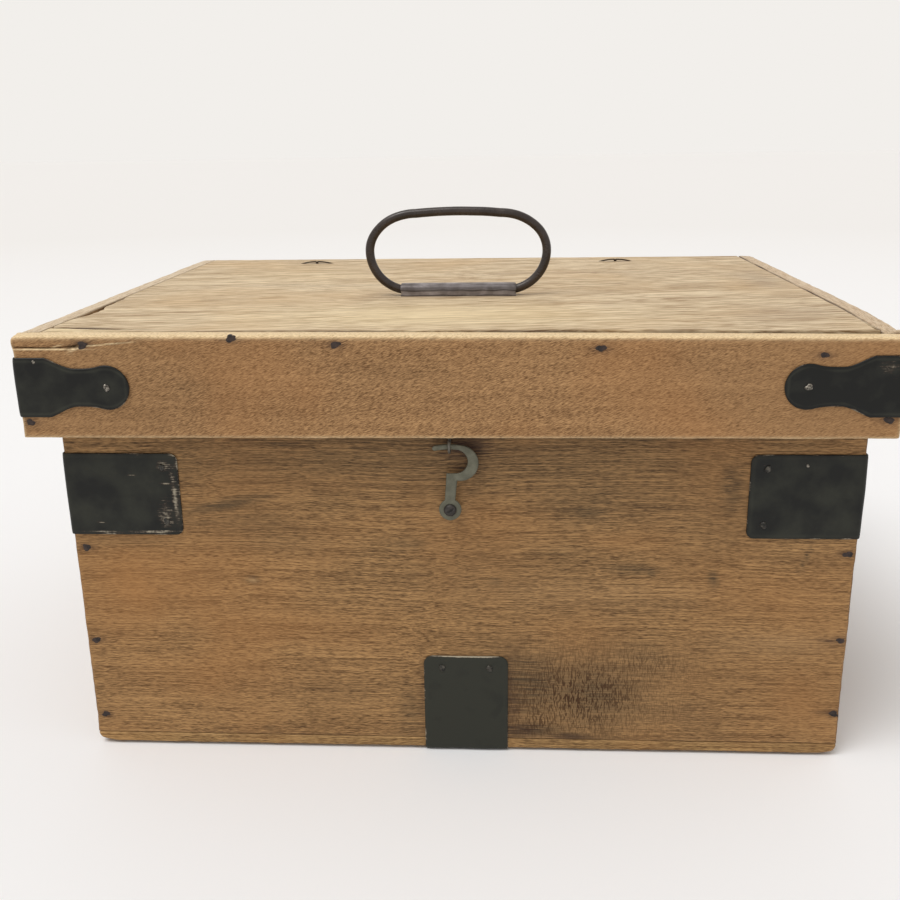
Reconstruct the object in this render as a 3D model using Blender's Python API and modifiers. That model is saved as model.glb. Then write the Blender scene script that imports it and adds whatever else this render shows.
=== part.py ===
"""Small iron-bound storage chest: a nailed board case under a cap lid.

The lid swings on two pairs of interlocked cotter eyes at the back. A flat hook on the case
front turns on a screw and catches an eye under the lid. A wire bail stands in a folded clip
on the lid. Metres, +Z up, +Y to the back, origin on the floor under the middle of the chest.
"""

from math import asin, atan2, cos, pi, radians, sin, sqrt, tan

import bmesh
import bpy
from mathutils import Matrix, Vector

# Clearances
SEAT_GAP = 0.0003
PANEL_GAP = 0.0006
LID_CLEARANCE = 0.0016
LID_SIDE_CLEARANCE = 0.0019
HOLE_CLEARANCE = 0.0003
BAIL_CLEARANCE = 0.0006

# Case boards
CASE_WIDTH = 0.3536
CASE_DEPTH = 0.2548
CASE_BOARD = 0.0095
CASE_OFFSET = 0.0014
WALL_HEIGHT = 0.1868
BOTTOM_BOARD = 0.0050
BOTTOM_END_RADIUS = 0.0045
EDGE_RADIUS = 0.0010

# Lid boards
LID_BOARD = 0.0086
LID_PANEL = 0.0100
LID_SKIRT = 0.0452
LID_BACK_OVERHANG = 0.0230
LID_BACK_RADIUS = 0.0070

# Sheet iron corners and straps
PLATE_GAUGE = 0.0010
PLATE_LEG = 0.0490
PLATE_LONG_LEG = 0.0517
PLATE_HEIGHT = 0.0389
PLATE_CORNER = 0.0035
PLATE_BELOW_LID = 0.0098
BASE_GAUGE = 0.0010
BASE_WIDTH = 0.0394
BASE_RISE = 0.0487
BASE_UNDER = 0.0320
BASE_CORNER = 0.0040
BASE_OFFSET = 0.0045
STRAP_HEIGHT = 0.0262
STRAP_SHOULDER = 0.0135
STRAP_NECK = 0.0168
STRAP_NECK_AT = 0.0260
STRAP_BULB_AT = 0.0395
STRAP_BULB_RADIUS = 0.0098
STRAP_BULB_START = radians(10)
STRAP_BULB_END = radians(107)
STRAP_SHOULDER_SLOPE = -0.6

# Tacks that hold the iron
TACK_HEAD = 0.0036
TACK_DOME = 0.0009
TACK_SHANK = 0.0014
TACK_LENGTH = 0.0070
PLATE_TACK_END = 0.0072
PLATE_TACK_EDGE = 0.0065
BASE_TACK_SPREAD = 0.0222
BASE_TACK_EDGE = 0.0060

# Cotter hinges
HINGE_SPREAD = 0.1965
HINGE_OFFSET = -0.0045
COTTER_WIRE = 0.0016
COTTER_EYE = 0.0025
COTTER_NECK = 0.0056
COTTER_BEND = 0.0016
COTTER_LEAN = radians(22)
CASE_CLINCH = 0.0090
LID_CLINCH = 0.0075

# Hook, its screw and the eye that it catches
LATCH_OFFSET = -0.0015
HOOK_GAUGE = 0.0013
HOOK_REACH = 0.0290
HOOK_BAND = 0.0025
HOOK_TIP = radians(12.5)
HOOK_RIGHT = 0.0127
HOOK_BEND_WIDTH = 0.0048
HOOK_BEND_DROP = 0.0087
HOOK_MOUTH = 0.0109
HOOK_SHANK = 0.0047
HOOK_LEAN = 0.0009
HOOK_PAD_RADIUS = 0.0050
SCREW_SHANK = 0.0028
SCREW_HEAD = 0.0056
SCREW_DOME = 0.0016
SCREW_SLOT = 0.0008
SCREW_SLOT_DEPTH = 0.0007
SCREW_SLOT_TURN = radians(30)
SCREW_GRIP = 0.0068
SPACER_RADIUS = 0.0036
EYE_WIRE = 0.0013
EYE_BORE = 0.0024
EYE_DROP = 0.0010
EYE_SHANK = 0.0110
EYE_LIFT = 0.0007
EYE_FROM_CASE = 0.0004
EYE_START = radians(50)
EYE_TURN = radians(280)

# Bail and its clip
HANDLE_OFFSET = -0.0018
HANDLE_FROM_FRONT = 0.1120
BAIL_WIRE = 0.0045
BAIL_WIDTH = 0.0955
BAIL_HEIGHT = 0.0445
BAIL_SIDE_AT = 0.0200
BAIL_LOWER_REACH = 0.0205
BAIL_UPPER_REACH = 0.0240
BAIL_ARCH = 0.0010
BAIL_END_GAP = 0.0010
BAIL_LIFT = 0.0005
CLIP_GAUGE = 0.0009
CLIP_LENGTH = 0.0595
CLIP_FOOT = 0.0070

# Facets
ROUND_STEPS = 4
BEND_STEPS = 3
TURN_STEPS = 10
HOLE_STEPS = 10
THIN_WIRE_SIDES = 1
BAIL_SIDES = 3
BAIL_STEPS = 6
ARCH_STEPS = 3
DOME_STEPS = 2

# Places that follow from the sizes
TACK_PROUD = SEAT_GAP + PLATE_GAUGE + SEAT_GAP
LID_WIDTH = CASE_WIDTH + 2 * (LID_SIDE_CLEARANCE + LID_BOARD)
LID_DEPTH = LID_BOARD + LID_CLEARANCE + CASE_DEPTH + LID_BACK_OVERHANG
LID_FRONT_Y = (TACK_PROUD + TACK_DOME - LID_DEPTH) / 2
LID_BACK_Y = LID_FRONT_Y + LID_DEPTH
CASE_FRONT_Y = LID_FRONT_Y + LID_BOARD + LID_CLEARANCE
CASE_BACK_Y = CASE_FRONT_Y + CASE_DEPTH
WOOD_LOW_Z = BASE_GAUGE + SEAT_GAP
WALL_LOW_Z = WOOD_LOW_Z + BOTTOM_BOARD + SEAT_GAP
WALL_TOP_Z = WALL_LOW_Z + WALL_HEIGHT
PANEL_LOW_Z = WALL_TOP_Z + SEAT_GAP
LID_TOP_Z = PANEL_LOW_Z + LID_PANEL
SKIRT_LOW_Z = LID_TOP_Z - LID_SKIRT
PLATE_MID_Z = SKIRT_LOW_Z - PLATE_BELOW_LID - PLATE_HEIGHT / 2
STRAP_MID_Z = LID_TOP_Z - LID_SKIRT / 2
HINGE_Y = CASE_BACK_Y + SEAT_GAP + COTTER_WIRE / 2 + COTTER_EYE
HINGE_Z = PANEL_LOW_Z - COTTER_NECK
COTTER_LEG = (COTTER_WIRE + SEAT_GAP) / 2
COTTER_HOLE = COTTER_LEG + COTTER_WIRE / 2 + HOLE_CLEARANCE
EYE_RADIUS = EYE_BORE + EYE_WIRE / 2
EYE_Y = CASE_FRONT_Y - EYE_FROM_CASE - EYE_WIRE / 2 - EYE_RADIUS
EYE_Z = SKIRT_LOW_Z - EYE_DROP - EYE_WIRE / 2 - EYE_RADIUS
HOOK_PIVOT = Vector((LATCH_OFFSET, EYE_Y, EYE_Z - EYE_LIFT - HOOK_REACH))
HOOK_HOLE = SCREW_SHANK / 2 + HOLE_CLEARANCE
BAIL_AXIS = Vector((HANDLE_OFFSET, LID_FRONT_Y + HANDLE_FROM_FRONT,
                    LID_TOP_Z + BAIL_LIFT + BAIL_WIRE / 2))
CLIP_BORE = BAIL_WIRE / 2 + BAIL_CLEARANCE
SQUARE = pi / 2
# Turns a strip's own X to the back, its Y up and its width along the chest
SIDEWAYS = Matrix(((0, 0, 1, 0), (1, 0, 0, 0), (0, 1, 0, 0), (0, 0, 0, 1)))


def clear_scene():
    for item in list(bpy.data.objects):
        bpy.data.objects.remove(item, do_unlink=True)


def add_collection(name):
    group = bpy.data.collections.new(name)
    bpy.context.scene.collection.children.link(group)
    return group


def finish(name, colour, roughness, metallic):
    material = bpy.data.materials.new(name)
    material.use_nodes = True
    shader = material.node_tree.nodes["Principled BSDF"]
    shader.inputs["Base Color"].default_value = (*colour, 1.0)
    shader.inputs["Roughness"].default_value = roughness
    shader.inputs["Metallic"].default_value = metallic
    return material


clear_scene()
PARTS = add_collection("storage_chest")
CUTTERS = add_collection("cutters")
CASE_WOOD = finish("case_wood", (0.14, 0.075, 0.038), 0.6, 0.0)
INNER_WOOD = finish("bottom_wood", (0.20, 0.12, 0.065), 0.7, 0.0)
LID_WOOD = finish("lid_skirt_wood", (0.25, 0.13, 0.06), 0.5, 0.0)
PANEL_WOOD = finish("lid_panel_wood", (0.45, 0.31, 0.19), 0.6, 0.0)
BLACK_IRON = finish("black_iron", (0.012, 0.012, 0.013), 0.45, 0.3)
TACK_IRON = finish("tack_iron", (0.05, 0.045, 0.042), 0.5, 0.8)
BAIL_STEEL = finish("bail_steel", (0.05, 0.04, 0.035), 0.35, 0.9)
CLIP_STEEL = finish("clip_steel", (0.18, 0.18, 0.18), 0.4, 0.9)
HOOK_STEEL = finish("hook_steel", (0.19, 0.19, 0.16), 0.45, 0.8)
WIRE_STEEL = finish("wire_steel", (0.13, 0.12, 0.11), 0.45, 0.8)


def world_place(carrier):
    place = Vector()
    while carrier:
        place += carrier.location
        carrier = carrier.parent
    return place


def add_axis(name, place, carrier=None):
    """Empty on a joint's axis, which carries the pieces that move with it."""
    axis = bpy.data.objects.new(name, None)
    axis.empty_display_size = 0.03
    axis.parent = carrier
    axis.location = Vector(place) - world_place(carrier)
    PARTS.objects.link(axis)
    return axis


def add_part(name, data, material, place, carrier=None):
    part = bpy.data.objects.new(name, data)
    data.materials.append(material)
    part.parent = carrier
    part.matrix_local = Matrix.Translation(-world_place(carrier)) @ place
    PARTS.objects.link(part)
    return part


def to_mesh(shape, name):
    mesh = bpy.data.meshes.new(name)
    shape.to_mesh(mesh)
    shape.free()
    return mesh


def add_cutter(name, shape):
    tool = bpy.data.objects.new(name, to_mesh(shape, name))
    tool.hide_render = True
    tool.display_type = "WIRE"
    CUTTERS.objects.link(tool)
    return tool


def cut(part, tool):
    boolean = part.modifiers.new(tool.name, "BOOLEAN")
    boolean.operation = "DIFFERENCE"
    boolean.solver = "EXACT"
    boolean.object = tool


def facing(point, outward):
    """Place whose +Z points outward from a surface."""
    return Matrix.Translation(point) @ Vector(outward).to_track_quat("Z", "Y").to_matrix().to_4x4()


def drill(name, places, radius, depth, proud, parts):
    """Round holes from a little outside each place to a depth behind it, cut in every part."""
    shape = bmesh.new()
    for place in places:
        middle = place @ Matrix.Translation((0, 0, (proud - depth) / 2))
        bmesh.ops.create_cone(shape, cap_ends=True, segments=HOLE_STEPS, radius1=radius,
                              radius2=radius, depth=proud + depth, matrix=middle)
    tool = add_cutter(name, shape)
    for part in parts:
        cut(part, tool)


def board(name, low, high, material, carrier=None, rounded=None, radius=0.0):
    """Sawn board between two corners, with eased arrises and some edges rounded further."""
    low, high = Vector(low), Vector(high)
    shape = bmesh.new()
    bmesh.ops.create_cube(shape, size=1.0)
    bmesh.ops.scale(shape, vec=high - low, verts=shape.verts)
    if rounded:
        edges = [edge for edge in shape.edges if rounded((edge.verts[0].co + edge.verts[1].co) / 2)]
        bmesh.ops.bevel(shape, geom=edges, offset=radius, segments=ROUND_STEPS, profile=0.5,
                        affect="EDGES")
    part = add_part(name, to_mesh(shape, name), material, Matrix.Translation((low + high) / 2), carrier)
    eased = part.modifiers.new("eased_arris", "BEVEL")
    eased.width = EDGE_RADIUS
    eased.segments = 2
    return part


def bent_sheet(name, stations, gauge, material, place, carrier=None):
    """Sheet metal strip: stations (x, y, half width) along its inner face, thickened to the left."""
    shape = bmesh.new()
    rows = [(shape.verts.new((x, y, -half)), shape.verts.new((x, y, half))) for x, y, half in stations]
    for (low, high), (next_low, next_high) in zip(rows, rows[1:]):
        shape.faces.new((low, high, next_high, next_low))
    part = add_part(name, to_mesh(shape, name), material, place, carrier)
    solid = part.modifiers.new("gauge", "SOLIDIFY")
    solid.thickness = gauge
    solid.offset = 1.0
    solid.use_even_offset = True
    return part


def turned(name, profile, material, place, carrier=None):
    """Profile of (radius, height) from the top down its outer side, spun about its own Z."""
    shape = bmesh.new()
    points = [shape.verts.new((radius, 0, height)) for radius, height in profile]
    for pair in zip(points, points[1:]):
        shape.edges.new(pair)
    part = add_part(name, to_mesh(shape, name), material, place, carrier)
    spin = part.modifiers.new("turned", "SCREW")
    spin.steps = TURN_STEPS
    spin.render_steps = TURN_STEPS
    spin.use_merge_vertices = True
    spin.merge_threshold = 0.00001
    spin.use_smooth_shade = True
    return part


def bent_wire(name, points, wire, sides, material, place, carrier=None):
    curve = bpy.data.curves.new(name, "CURVE")
    curve.dimensions = "3D"
    curve.bevel_depth = wire / 2
    curve.bevel_resolution = sides
    curve.use_fill_caps = True
    spline = curve.splines.new("POLY")
    spline.points.add(len(points) - 1)
    for spot, point in zip(spline.points, points):
        spot.co = (*point, 1.0)
    return add_part(name, curve, material, place, carrier)


def flat_blank(name, outlines, gauge, material, place, carrier=None):
    """Sheet blank cut to closed outlines, the first one outside and the rest holes."""
    curve = bpy.data.curves.new(name, "CURVE")
    curve.dimensions = "2D"
    curve.fill_mode = "BOTH"
    curve.extrude = gauge / 2
    for outline in outlines:
        spline = curve.splines.new("POLY")
        spline.use_cyclic_u = True
        spline.points.add(len(outline) - 1)
        for spot, (x, y) in zip(spline.points, outline):
            spot.co = (x, y, 0.0, 1.0)
    return add_part(name, curve, material, place, carrier)


def arc(centre, radius, start, end, steps):
    """Points on a circle from one angle to another, both ends included."""
    angles = [start + (end - start) * step / steps for step in range(steps + 1)]
    return [(centre[0] + radius * cos(angle), centre[1] + radius * sin(angle)) for angle in angles]


def hermite(start, slope, end, end_slope, steps):
    """Cubic from start to end with the given slopes, without its first point."""
    run = end[0] - start[0]
    points = []
    for step in range(1, steps + 1):
        t = step / steps
        height = ((2 * t**3 - 3 * t**2 + 1) * start[1] + (t**3 - 2 * t**2 + t) * run * slope
                  + (3 * t**2 - 2 * t**3) * end[1] + (t**3 - t**2) * run * end_slope)
        points.append((start[0] + run * t, height))
    return points


def smooth_through(points, steps):
    """Points on a smooth curve that passes through each given point."""
    ends = [2 * points[0] - points[1], *points, 2 * points[-1] - points[-2]]
    path = []
    for before, here, there, after in zip(ends, ends[1:], ends[2:], ends[3:]):
        for step in range(steps):
            t = step / steps
            path.append(here + 0.5 * t * (there - before
                        + t * (2 * before - 5 * here + 4 * there - after
                               + t * (3 * (here - there) + after - before))))
    return [*path, points[-1]]


def case_boards():
    start, end = CASE_OFFSET - CASE_WIDTH / 2, CASE_OFFSET + CASE_WIDTH / 2
    front = board("case_front_board", (start, CASE_FRONT_Y, WALL_LOW_Z),
                  (end, CASE_FRONT_Y + CASE_BOARD, WALL_TOP_Z), CASE_WOOD)
    back = board("case_back_board", (start, CASE_BACK_Y - CASE_BOARD, WALL_LOW_Z),
                 (end, CASE_BACK_Y, WALL_TOP_Z), CASE_WOOD)
    near = CASE_FRONT_Y + CASE_BOARD + SEAT_GAP
    far = CASE_BACK_Y - CASE_BOARD - SEAT_GAP
    left = board("case_left_board", (start, near, WALL_LOW_Z),
                 (start + CASE_BOARD, far, WALL_TOP_Z), CASE_WOOD)
    right = board("case_right_board", (end - CASE_BOARD, near, WALL_LOW_Z),
                  (end, far, WALL_TOP_Z), CASE_WOOD)
    board("case_bottom_board", (start, CASE_FRONT_Y, WOOD_LOW_Z),
          (end, CASE_BACK_Y, WOOD_LOW_Z + BOTTOM_BOARD), INNER_WOOD,
          rounded=lambda mid: mid.z < 0 < abs(mid.x), radius=BOTTOM_END_RADIUS)
    return {"front": front, "back": back, "left": left, "right": right}


def lid_boards(carrier):
    half = LID_WIDTH / 2
    front_inside = LID_FRONT_Y + LID_BOARD
    front = board("lid_front_board", (-half, LID_FRONT_Y, SKIRT_LOW_Z),
                  (half, front_inside, LID_TOP_Z), LID_WOOD, carrier)
    left = board("lid_left_board", (-half, front_inside + SEAT_GAP, SKIRT_LOW_Z),
                 (-half + LID_BOARD, LID_BACK_Y, LID_TOP_Z), LID_WOOD, carrier,
                 rounded=lambda mid: mid.x < 0 < mid.y and mid.z == 0, radius=LID_BACK_RADIUS)
    right = board("lid_right_board", (half - LID_BOARD, front_inside + SEAT_GAP, SKIRT_LOW_Z),
                  (half, LID_BACK_Y, LID_TOP_Z), LID_WOOD, carrier,
                  rounded=lambda mid: mid.x > 0 and mid.y > 0 and mid.z == 0, radius=LID_BACK_RADIUS)
    inside = half - LID_BOARD - PANEL_GAP
    panel = board("lid_panel", (-inside, front_inside + PANEL_GAP, PANEL_LOW_Z),
                  (inside, LID_BACK_Y, LID_TOP_Z), PANEL_WOOD, carrier)
    return {"front": front, "left": left, "right": right, "panel": panel}


def bend_stations(half_width):
    """Inner face of a fold round an eased arris, from the X leg to the Y leg."""
    points = arc((EDGE_RADIUS, EDGE_RADIUS), EDGE_RADIUS + SEAT_GAP, 3 * SQUARE, 2 * SQUARE, BEND_STEPS)
    return [(x, y, half_width) for x, y in points]


def folded_corner(leg, half_width):
    """Two equal legs of (distance, half width), end first, folded round an arris at the origin."""
    first = [(along, -SEAT_GAP, half) for along, half in leg]
    second = [(-SEAT_GAP, along, half) for along, half in reversed(leg)]
    return [*first, *bend_stations(half_width), *second]


def rounded_leg(length, half, radius):
    """Half widths of a strip whose end has rounded corners, end first."""
    return arc((length - radius, half - radius), radius, 0, SQUARE, ROUND_STEPS)


def bottle_leg():
    """Half widths of the lid strap: a round end, a drawn-in neck and a square shoulder."""
    bulb = arc((STRAP_BULB_AT, 0), STRAP_BULB_RADIUS, STRAP_BULB_START, STRAP_BULB_END, 3 * ROUND_STEPS)
    neck = (STRAP_NECK_AT, STRAP_NECK / 2)
    into_neck = hermite(bulb[-1], -1 / tan(STRAP_BULB_END), neck, 0.0, ROUND_STEPS)
    shoulder = (STRAP_SHOULDER, STRAP_HEIGHT / 2)
    return [*bulb, *into_neck, *hermite(neck, 0.0, shoulder, STRAP_SHOULDER_SLOPE, ROUND_STEPS)]


def dome(radius, height, steps):
    """Profile of a rounded head from its top down to its rim."""
    angles = [step * SQUARE / steps for step in range(steps + 1)]
    return [(radius * sin(angle), height * cos(angle)) for angle in angles]


def add_tack(name, place, carrier=None):
    shank = TACK_SHANK / 2
    profile = [*dome(TACK_HEAD / 2, TACK_DOME, DOME_STEPS), (shank, 0), (shank, shank - TACK_LENGTH),
               (0, -TACK_LENGTH)]
    turned(name, profile, TACK_IRON, place, carrier)


def tack_down(name, places, parts, carrier=None):
    """Tacks at places on a sheet's outer face, with pilot holes through the parts below."""
    drill(f"{name}_pilots", places, TACK_SHANK / 2 + HOLE_CLEARANCE, TACK_LENGTH + HOLE_CLEARANCE,
          TACK_DOME, parts)
    for number, place in enumerate(places, 1):
        add_tack(f"{name}_tack_{number}", place, carrier)


def corner_place(middle, half_width, front, back, height, turns):
    """Place at one upright corner, whose X and Y run along the two faces that meet there."""
    x = middle + half_width if turns in (1, 2) else middle - half_width
    y = back if turns in (2, 3) else front
    return Matrix.Translation((x, y, height)) @ Matrix.Rotation(turns * SQUARE, 4, "Z")


def leg_tacks(place, spots):
    """Tack places on both legs of a folded corner, for spots of (distance, height)."""
    on_first = [facing((along, -TACK_PROUD, up), (0, -1, 0)) for along, up in spots]
    on_second = [facing((-TACK_PROUD, along, up), (-1, 0, 0)) for along, up in spots]
    return [place @ spot for spot in (*on_first, *on_second)]


def corner_plates(boards):
    up = PLATE_HEIGHT / 2 - PLATE_TACK_EDGE
    corners = (("front_left", "front", "left", PLATE_LONG_LEG), ("front_right", "right", "front", PLATE_LEG),
               ("back_right", "back", "right", PLATE_LEG), ("back_left", "left", "back", PLATE_LEG))
    for turns, (corner, first, second, length) in enumerate(corners):
        spots = [(length - PLATE_TACK_END, up), (length - PLATE_TACK_END, -up)]
        leg = rounded_leg(length, PLATE_HEIGHT / 2, PLATE_CORNER)
        place = corner_place(CASE_OFFSET, CASE_WIDTH / 2, CASE_FRONT_Y, CASE_BACK_Y, PLATE_MID_Z, turns)
        plate = bent_sheet(f"corner_plate_{corner}", folded_corner(leg, PLATE_HEIGHT / 2), PLATE_GAUGE,
                           BLACK_IRON, place)
        tack_down(f"corner_plate_{corner}", leg_tacks(place, spots),
                  (plate, boards[first], boards[second]))


def lid_straps(boards, carrier):
    for turns, (side, first, second) in enumerate((("left", "front", "left"), ("right", "right", "front"))):
        place = corner_place(0, LID_WIDTH / 2, LID_FRONT_Y, LID_BACK_Y, STRAP_MID_Z, turns)
        strap = bent_sheet(f"lid_strap_{side}", folded_corner(bottle_leg(), STRAP_HEIGHT / 2), PLATE_GAUGE,
                           BLACK_IRON, place, carrier)
        tack_down(f"lid_strap_{side}", leg_tacks(place, [(STRAP_BULB_AT, 0)]),
                  (strap, boards[first], boards[second]), carrier)


def base_straps(boards):
    half = BASE_WIDTH / 2
    under = [(along, -SEAT_GAP, reach) for along, reach in rounded_leg(BASE_UNDER, half, BASE_CORNER)]
    rising = [(-SEAT_GAP, along, reach) for along, reach in rounded_leg(BASE_RISE, half, BASE_CORNER)]
    stations = [*under, *bend_stations(half), *reversed(rising)]
    for side, y, turns in (("front", CASE_FRONT_Y, 0), ("back", CASE_BACK_Y, 2)):
        corner = Matrix.Translation((BASE_OFFSET, y, WOOD_LOW_Z)) @ Matrix.Rotation(turns * SQUARE, 4, "Z")
        strap = bent_sheet(f"base_strap_{side}", stations, BASE_GAUGE, BLACK_IRON, corner @ SIDEWAYS)
        proud = SEAT_GAP + BASE_GAUGE + SEAT_GAP
        tacks = [corner @ facing((x, -proud, BASE_RISE - BASE_TACK_EDGE), (0, -1, 0))
                 for x in (-BASE_TACK_SPREAD / 2, BASE_TACK_SPREAD / 2)]
        tack_down(f"base_strap_{side}", tacks, (strap, boards[side]))


def cotter_points(across, along, grip, clinch, directions):
    """Wire of one cotter from its eye's far end: eye, neck, two legs through a board, clinched ends.

    across and along are the eye's own axes, grip the distance to the far face of the board and
    directions the way in which each leg is hammered over."""
    side = arc((0, COTTER_EYE), COTTER_EYE, 3 * SQUARE, 4 * SQUARE, ROUND_STEPS)
    drawn_in = hermite((COTTER_EYE, COTTER_EYE), 0.0, (COTTER_NECK, COTTER_LEG), 0.0, ROUND_STEPS)
    half = [*side, *((reach, rise) for rise, reach in drawn_in)]
    turn_at = grip + SEAT_GAP + COTTER_WIRE / 2 - COTTER_BEND
    legs = []
    for sign, direction in zip((-1, 1), directions):
        leg = [sign * x * across + s * along for x, s in half]
        root = sign * COTTER_LEG * across
        for x, s in arc((COTTER_BEND, 0), COTTER_BEND, 2 * SQUARE, SQUARE, BEND_STEPS):
            leg.append(root + x * direction + (turn_at + s) * along)
        leg.append(leg[-1] + clinch * direction)
        legs.append(leg)
    return [*reversed(legs[0]), *legs[1][1:]]


def hinges(case, lid, lid_axis):
    right, back, up = Vector((1, 0, 0)), Vector((0, 1, 0)), Vector((0, 0, 1))
    into_case = COTTER_EYE + HINGE_Y - CASE_BACK_Y + CASE_BOARD
    through_lid = (COTTER_NECK + LID_PANEL) / cos(COTTER_LEAN)
    leaning = cos(COTTER_LEAN) * up - sin(COTTER_LEAN) * back
    for side, sign in (("left", -1), ("right", 1)):
        axis = Vector((HINGE_OFFSET + sign * HINGE_SPREAD / 2, HINGE_Y, HINGE_Z))
        wire = cotter_points(up, -back, into_case, CASE_CLINCH, (-right, right))
        bent_wire(f"hinge_case_cotter_{side}", wire, COTTER_WIRE, THIN_WIRE_SIDES, WIRE_STEEL,
                  Matrix.Translation(axis + COTTER_EYE * back))
        entry = facing((axis.x, CASE_BACK_Y, axis.z), back)
        drill(f"hinge_case_hole_{side}", [entry], COTTER_HOLE, 2 * CASE_BOARD, CASE_BOARD, [case["back"]])
        wire = cotter_points(right, leaning, through_lid, LID_CLINCH, (-right, right))
        bent_wire(f"hinge_lid_cotter_{side}", wire, COTTER_WIRE, THIN_WIRE_SIDES, WIRE_STEEL,
                  Matrix.Translation(axis), lid_axis)
        entry = facing(axis + through_lid * leaning, leaning)
        drill(f"hinge_lid_hole_{side}", [entry], COTTER_HOLE, 2 * LID_PANEL, LID_PANEL, [lid["panel"]])


def hook_outlines():
    """Flat hook about its pivot: round pad, leaning shank and a question-mark bend.

    The band past the eye is concentric with the pivot, so that it slides out of the eye as it turns.
    Each bend is the circle that touches the band's edge and keeps the stated reach to the right."""
    outer, inner = HOOK_REACH + HOOK_BAND / 2, HOOK_REACH - HOOK_BAND / 2
    rise = outer - HOOK_BEND_DROP
    outer_bend = (outer**2 - HOOK_RIGHT**2 - rise**2) / (2 * (outer - HOOK_RIGHT))
    outer_centre = (HOOK_RIGHT - outer_bend, rise)
    mouth_right, mouth_low = HOOK_RIGHT - HOOK_BEND_WIDTH, inner - HOOK_MOUTH
    span = mouth_low - mouth_right + inner
    inner_bend = sqrt(span**2 - mouth_right**2 - mouth_low**2 + inner**2) - span
    inner_centre = (mouth_right - inner_bend, mouth_low + inner_bend)
    tip = SQUARE + HOOK_TIP
    outer_touch = atan2(outer_centre[1], outer_centre[0])
    inner_touch = atan2(inner_centre[1], inner_centre[0])
    half = HOOK_SHANK / 2
    pad = asin(half / HOOK_PAD_RADIUS)
    corner_x = half + HOOK_LEAN - outer_centre[0]
    outline = arc((0, 0), HOOK_PAD_RADIUS, SQUARE - pad, SQUARE + pad - 2 * pi, 4 * ROUND_STEPS)
    outline += [(HOOK_LEAN - half, mouth_low)]
    outline += arc(inner_centre, inner_bend, -SQUARE, inner_touch, 3 * ROUND_STEPS)
    outline += arc((0, 0), inner, inner_touch, tip, ROUND_STEPS)[1:]
    tip_centre = (HOOK_REACH * cos(tip), HOOK_REACH * sin(tip))
    outline += arc(tip_centre, HOOK_BAND / 2, tip + pi, tip, ROUND_STEPS)[1:-1]
    outline += arc((0, 0), outer, tip, outer_touch, ROUND_STEPS)
    meets_shank = -SQUARE + asin(corner_x / outer_bend)
    outline += arc(outer_centre, outer_bend, outer_touch, meets_shank, 4 * ROUND_STEPS)[1:]
    return [outline, arc((0, 0), HOOK_HOLE, 0, 2 * pi, HOLE_STEPS)[:-1]]


def eye_points():
    """Wire of the screw eye about its ring: a shank down from the board, then most of a turn."""
    ring = arc((0, 0), EYE_RADIUS, EYE_START, EYE_START - EYE_TURN, 4 * ROUND_STEPS)
    neck = EYE_RADIUS + EYE_WIRE
    shank = [(0, neck + EYE_DROP), (0, neck), ring[0]]
    into_ring = smooth_through([Vector((0, y, z)) for y, z in shank], BEND_STEPS)
    top = Vector((0, 0, EYE_RADIUS + EYE_WIRE / 2 + EYE_DROP + EYE_SHANK))
    return [top, *into_ring[:-1], *(Vector((0, y, z)) for y, z in ring)]


def latch(case, lid, lid_axis):
    upright = Matrix.Translation(HOOK_PIVOT) @ Matrix.Rotation(SQUARE, 4, "X")
    flat_blank("latch_hook", hook_outlines(), HOOK_GAUGE, HOOK_STEEL, upright)
    hook_face, hook_back = HOOK_PIVOT.y - HOOK_GAUGE / 2, HOOK_PIVOT.y + HOOK_GAUGE / 2

    shape = bmesh.new()
    height = CASE_FRONT_Y - hook_back - 2 * SEAT_GAP
    bmesh.ops.create_cone(shape, cap_ends=True, segments=2 * TURN_STEPS, radius1=SPACER_RADIUS,
                          radius2=SPACER_RADIUS, depth=height)
    place = facing((HOOK_PIVOT.x, hook_back + SEAT_GAP + height / 2, HOOK_PIVOT.z), (0, -1, 0))
    spacer = add_part("hook_spacer", to_mesh(shape, "hook_spacer"), WIRE_STEEL, place)

    head = facing((HOOK_PIVOT.x, hook_face - SEAT_GAP, HOOK_PIVOT.z), (0, -1, 0))
    shank = SCREW_SHANK / 2
    length = CASE_FRONT_Y + SCREW_GRIP - hook_face + SEAT_GAP
    profile = [*dome(SCREW_HEAD / 2, SCREW_DOME, ROUND_STEPS), (shank, 0), (shank, shank - length),
               (0, -length)]
    screw = turned("hook_screw", profile, WIRE_STEEL, head)
    groove = bmesh.new()
    bmesh.ops.create_cube(groove, size=1.0, matrix=head
                          @ Matrix.Translation((0, 0, SCREW_DOME))
                          @ Matrix.Rotation(SCREW_SLOT_TURN, 4, "Z")
                          @ Matrix.Diagonal((2 * SCREW_HEAD, SCREW_SLOT, 2 * SCREW_SLOT_DEPTH, 1)))
    cut(screw, add_cutter("screw_slot", groove))
    entry = facing((HOOK_PIVOT.x, CASE_FRONT_Y, HOOK_PIVOT.z), (0, -1, 0))
    drill("hook_screw_hole", [entry], HOOK_HOLE, SCREW_GRIP + HOLE_CLEARANCE, CASE_BOARD,
          [case["front"], spacer])

    bent_wire("latch_eye", eye_points(), EYE_WIRE, THIN_WIRE_SIDES, WIRE_STEEL,
              Matrix.Translation((LATCH_OFFSET, EYE_Y, EYE_Z)), lid_axis)
    entry = facing((LATCH_OFFSET, EYE_Y, SKIRT_LOW_Z), (0, 0, -1))
    drill("latch_eye_hole", [entry], EYE_WIRE / 2 + HOLE_CLEARANCE, EYE_SHANK, EYE_SHANK, [lid["front"]])


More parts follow.
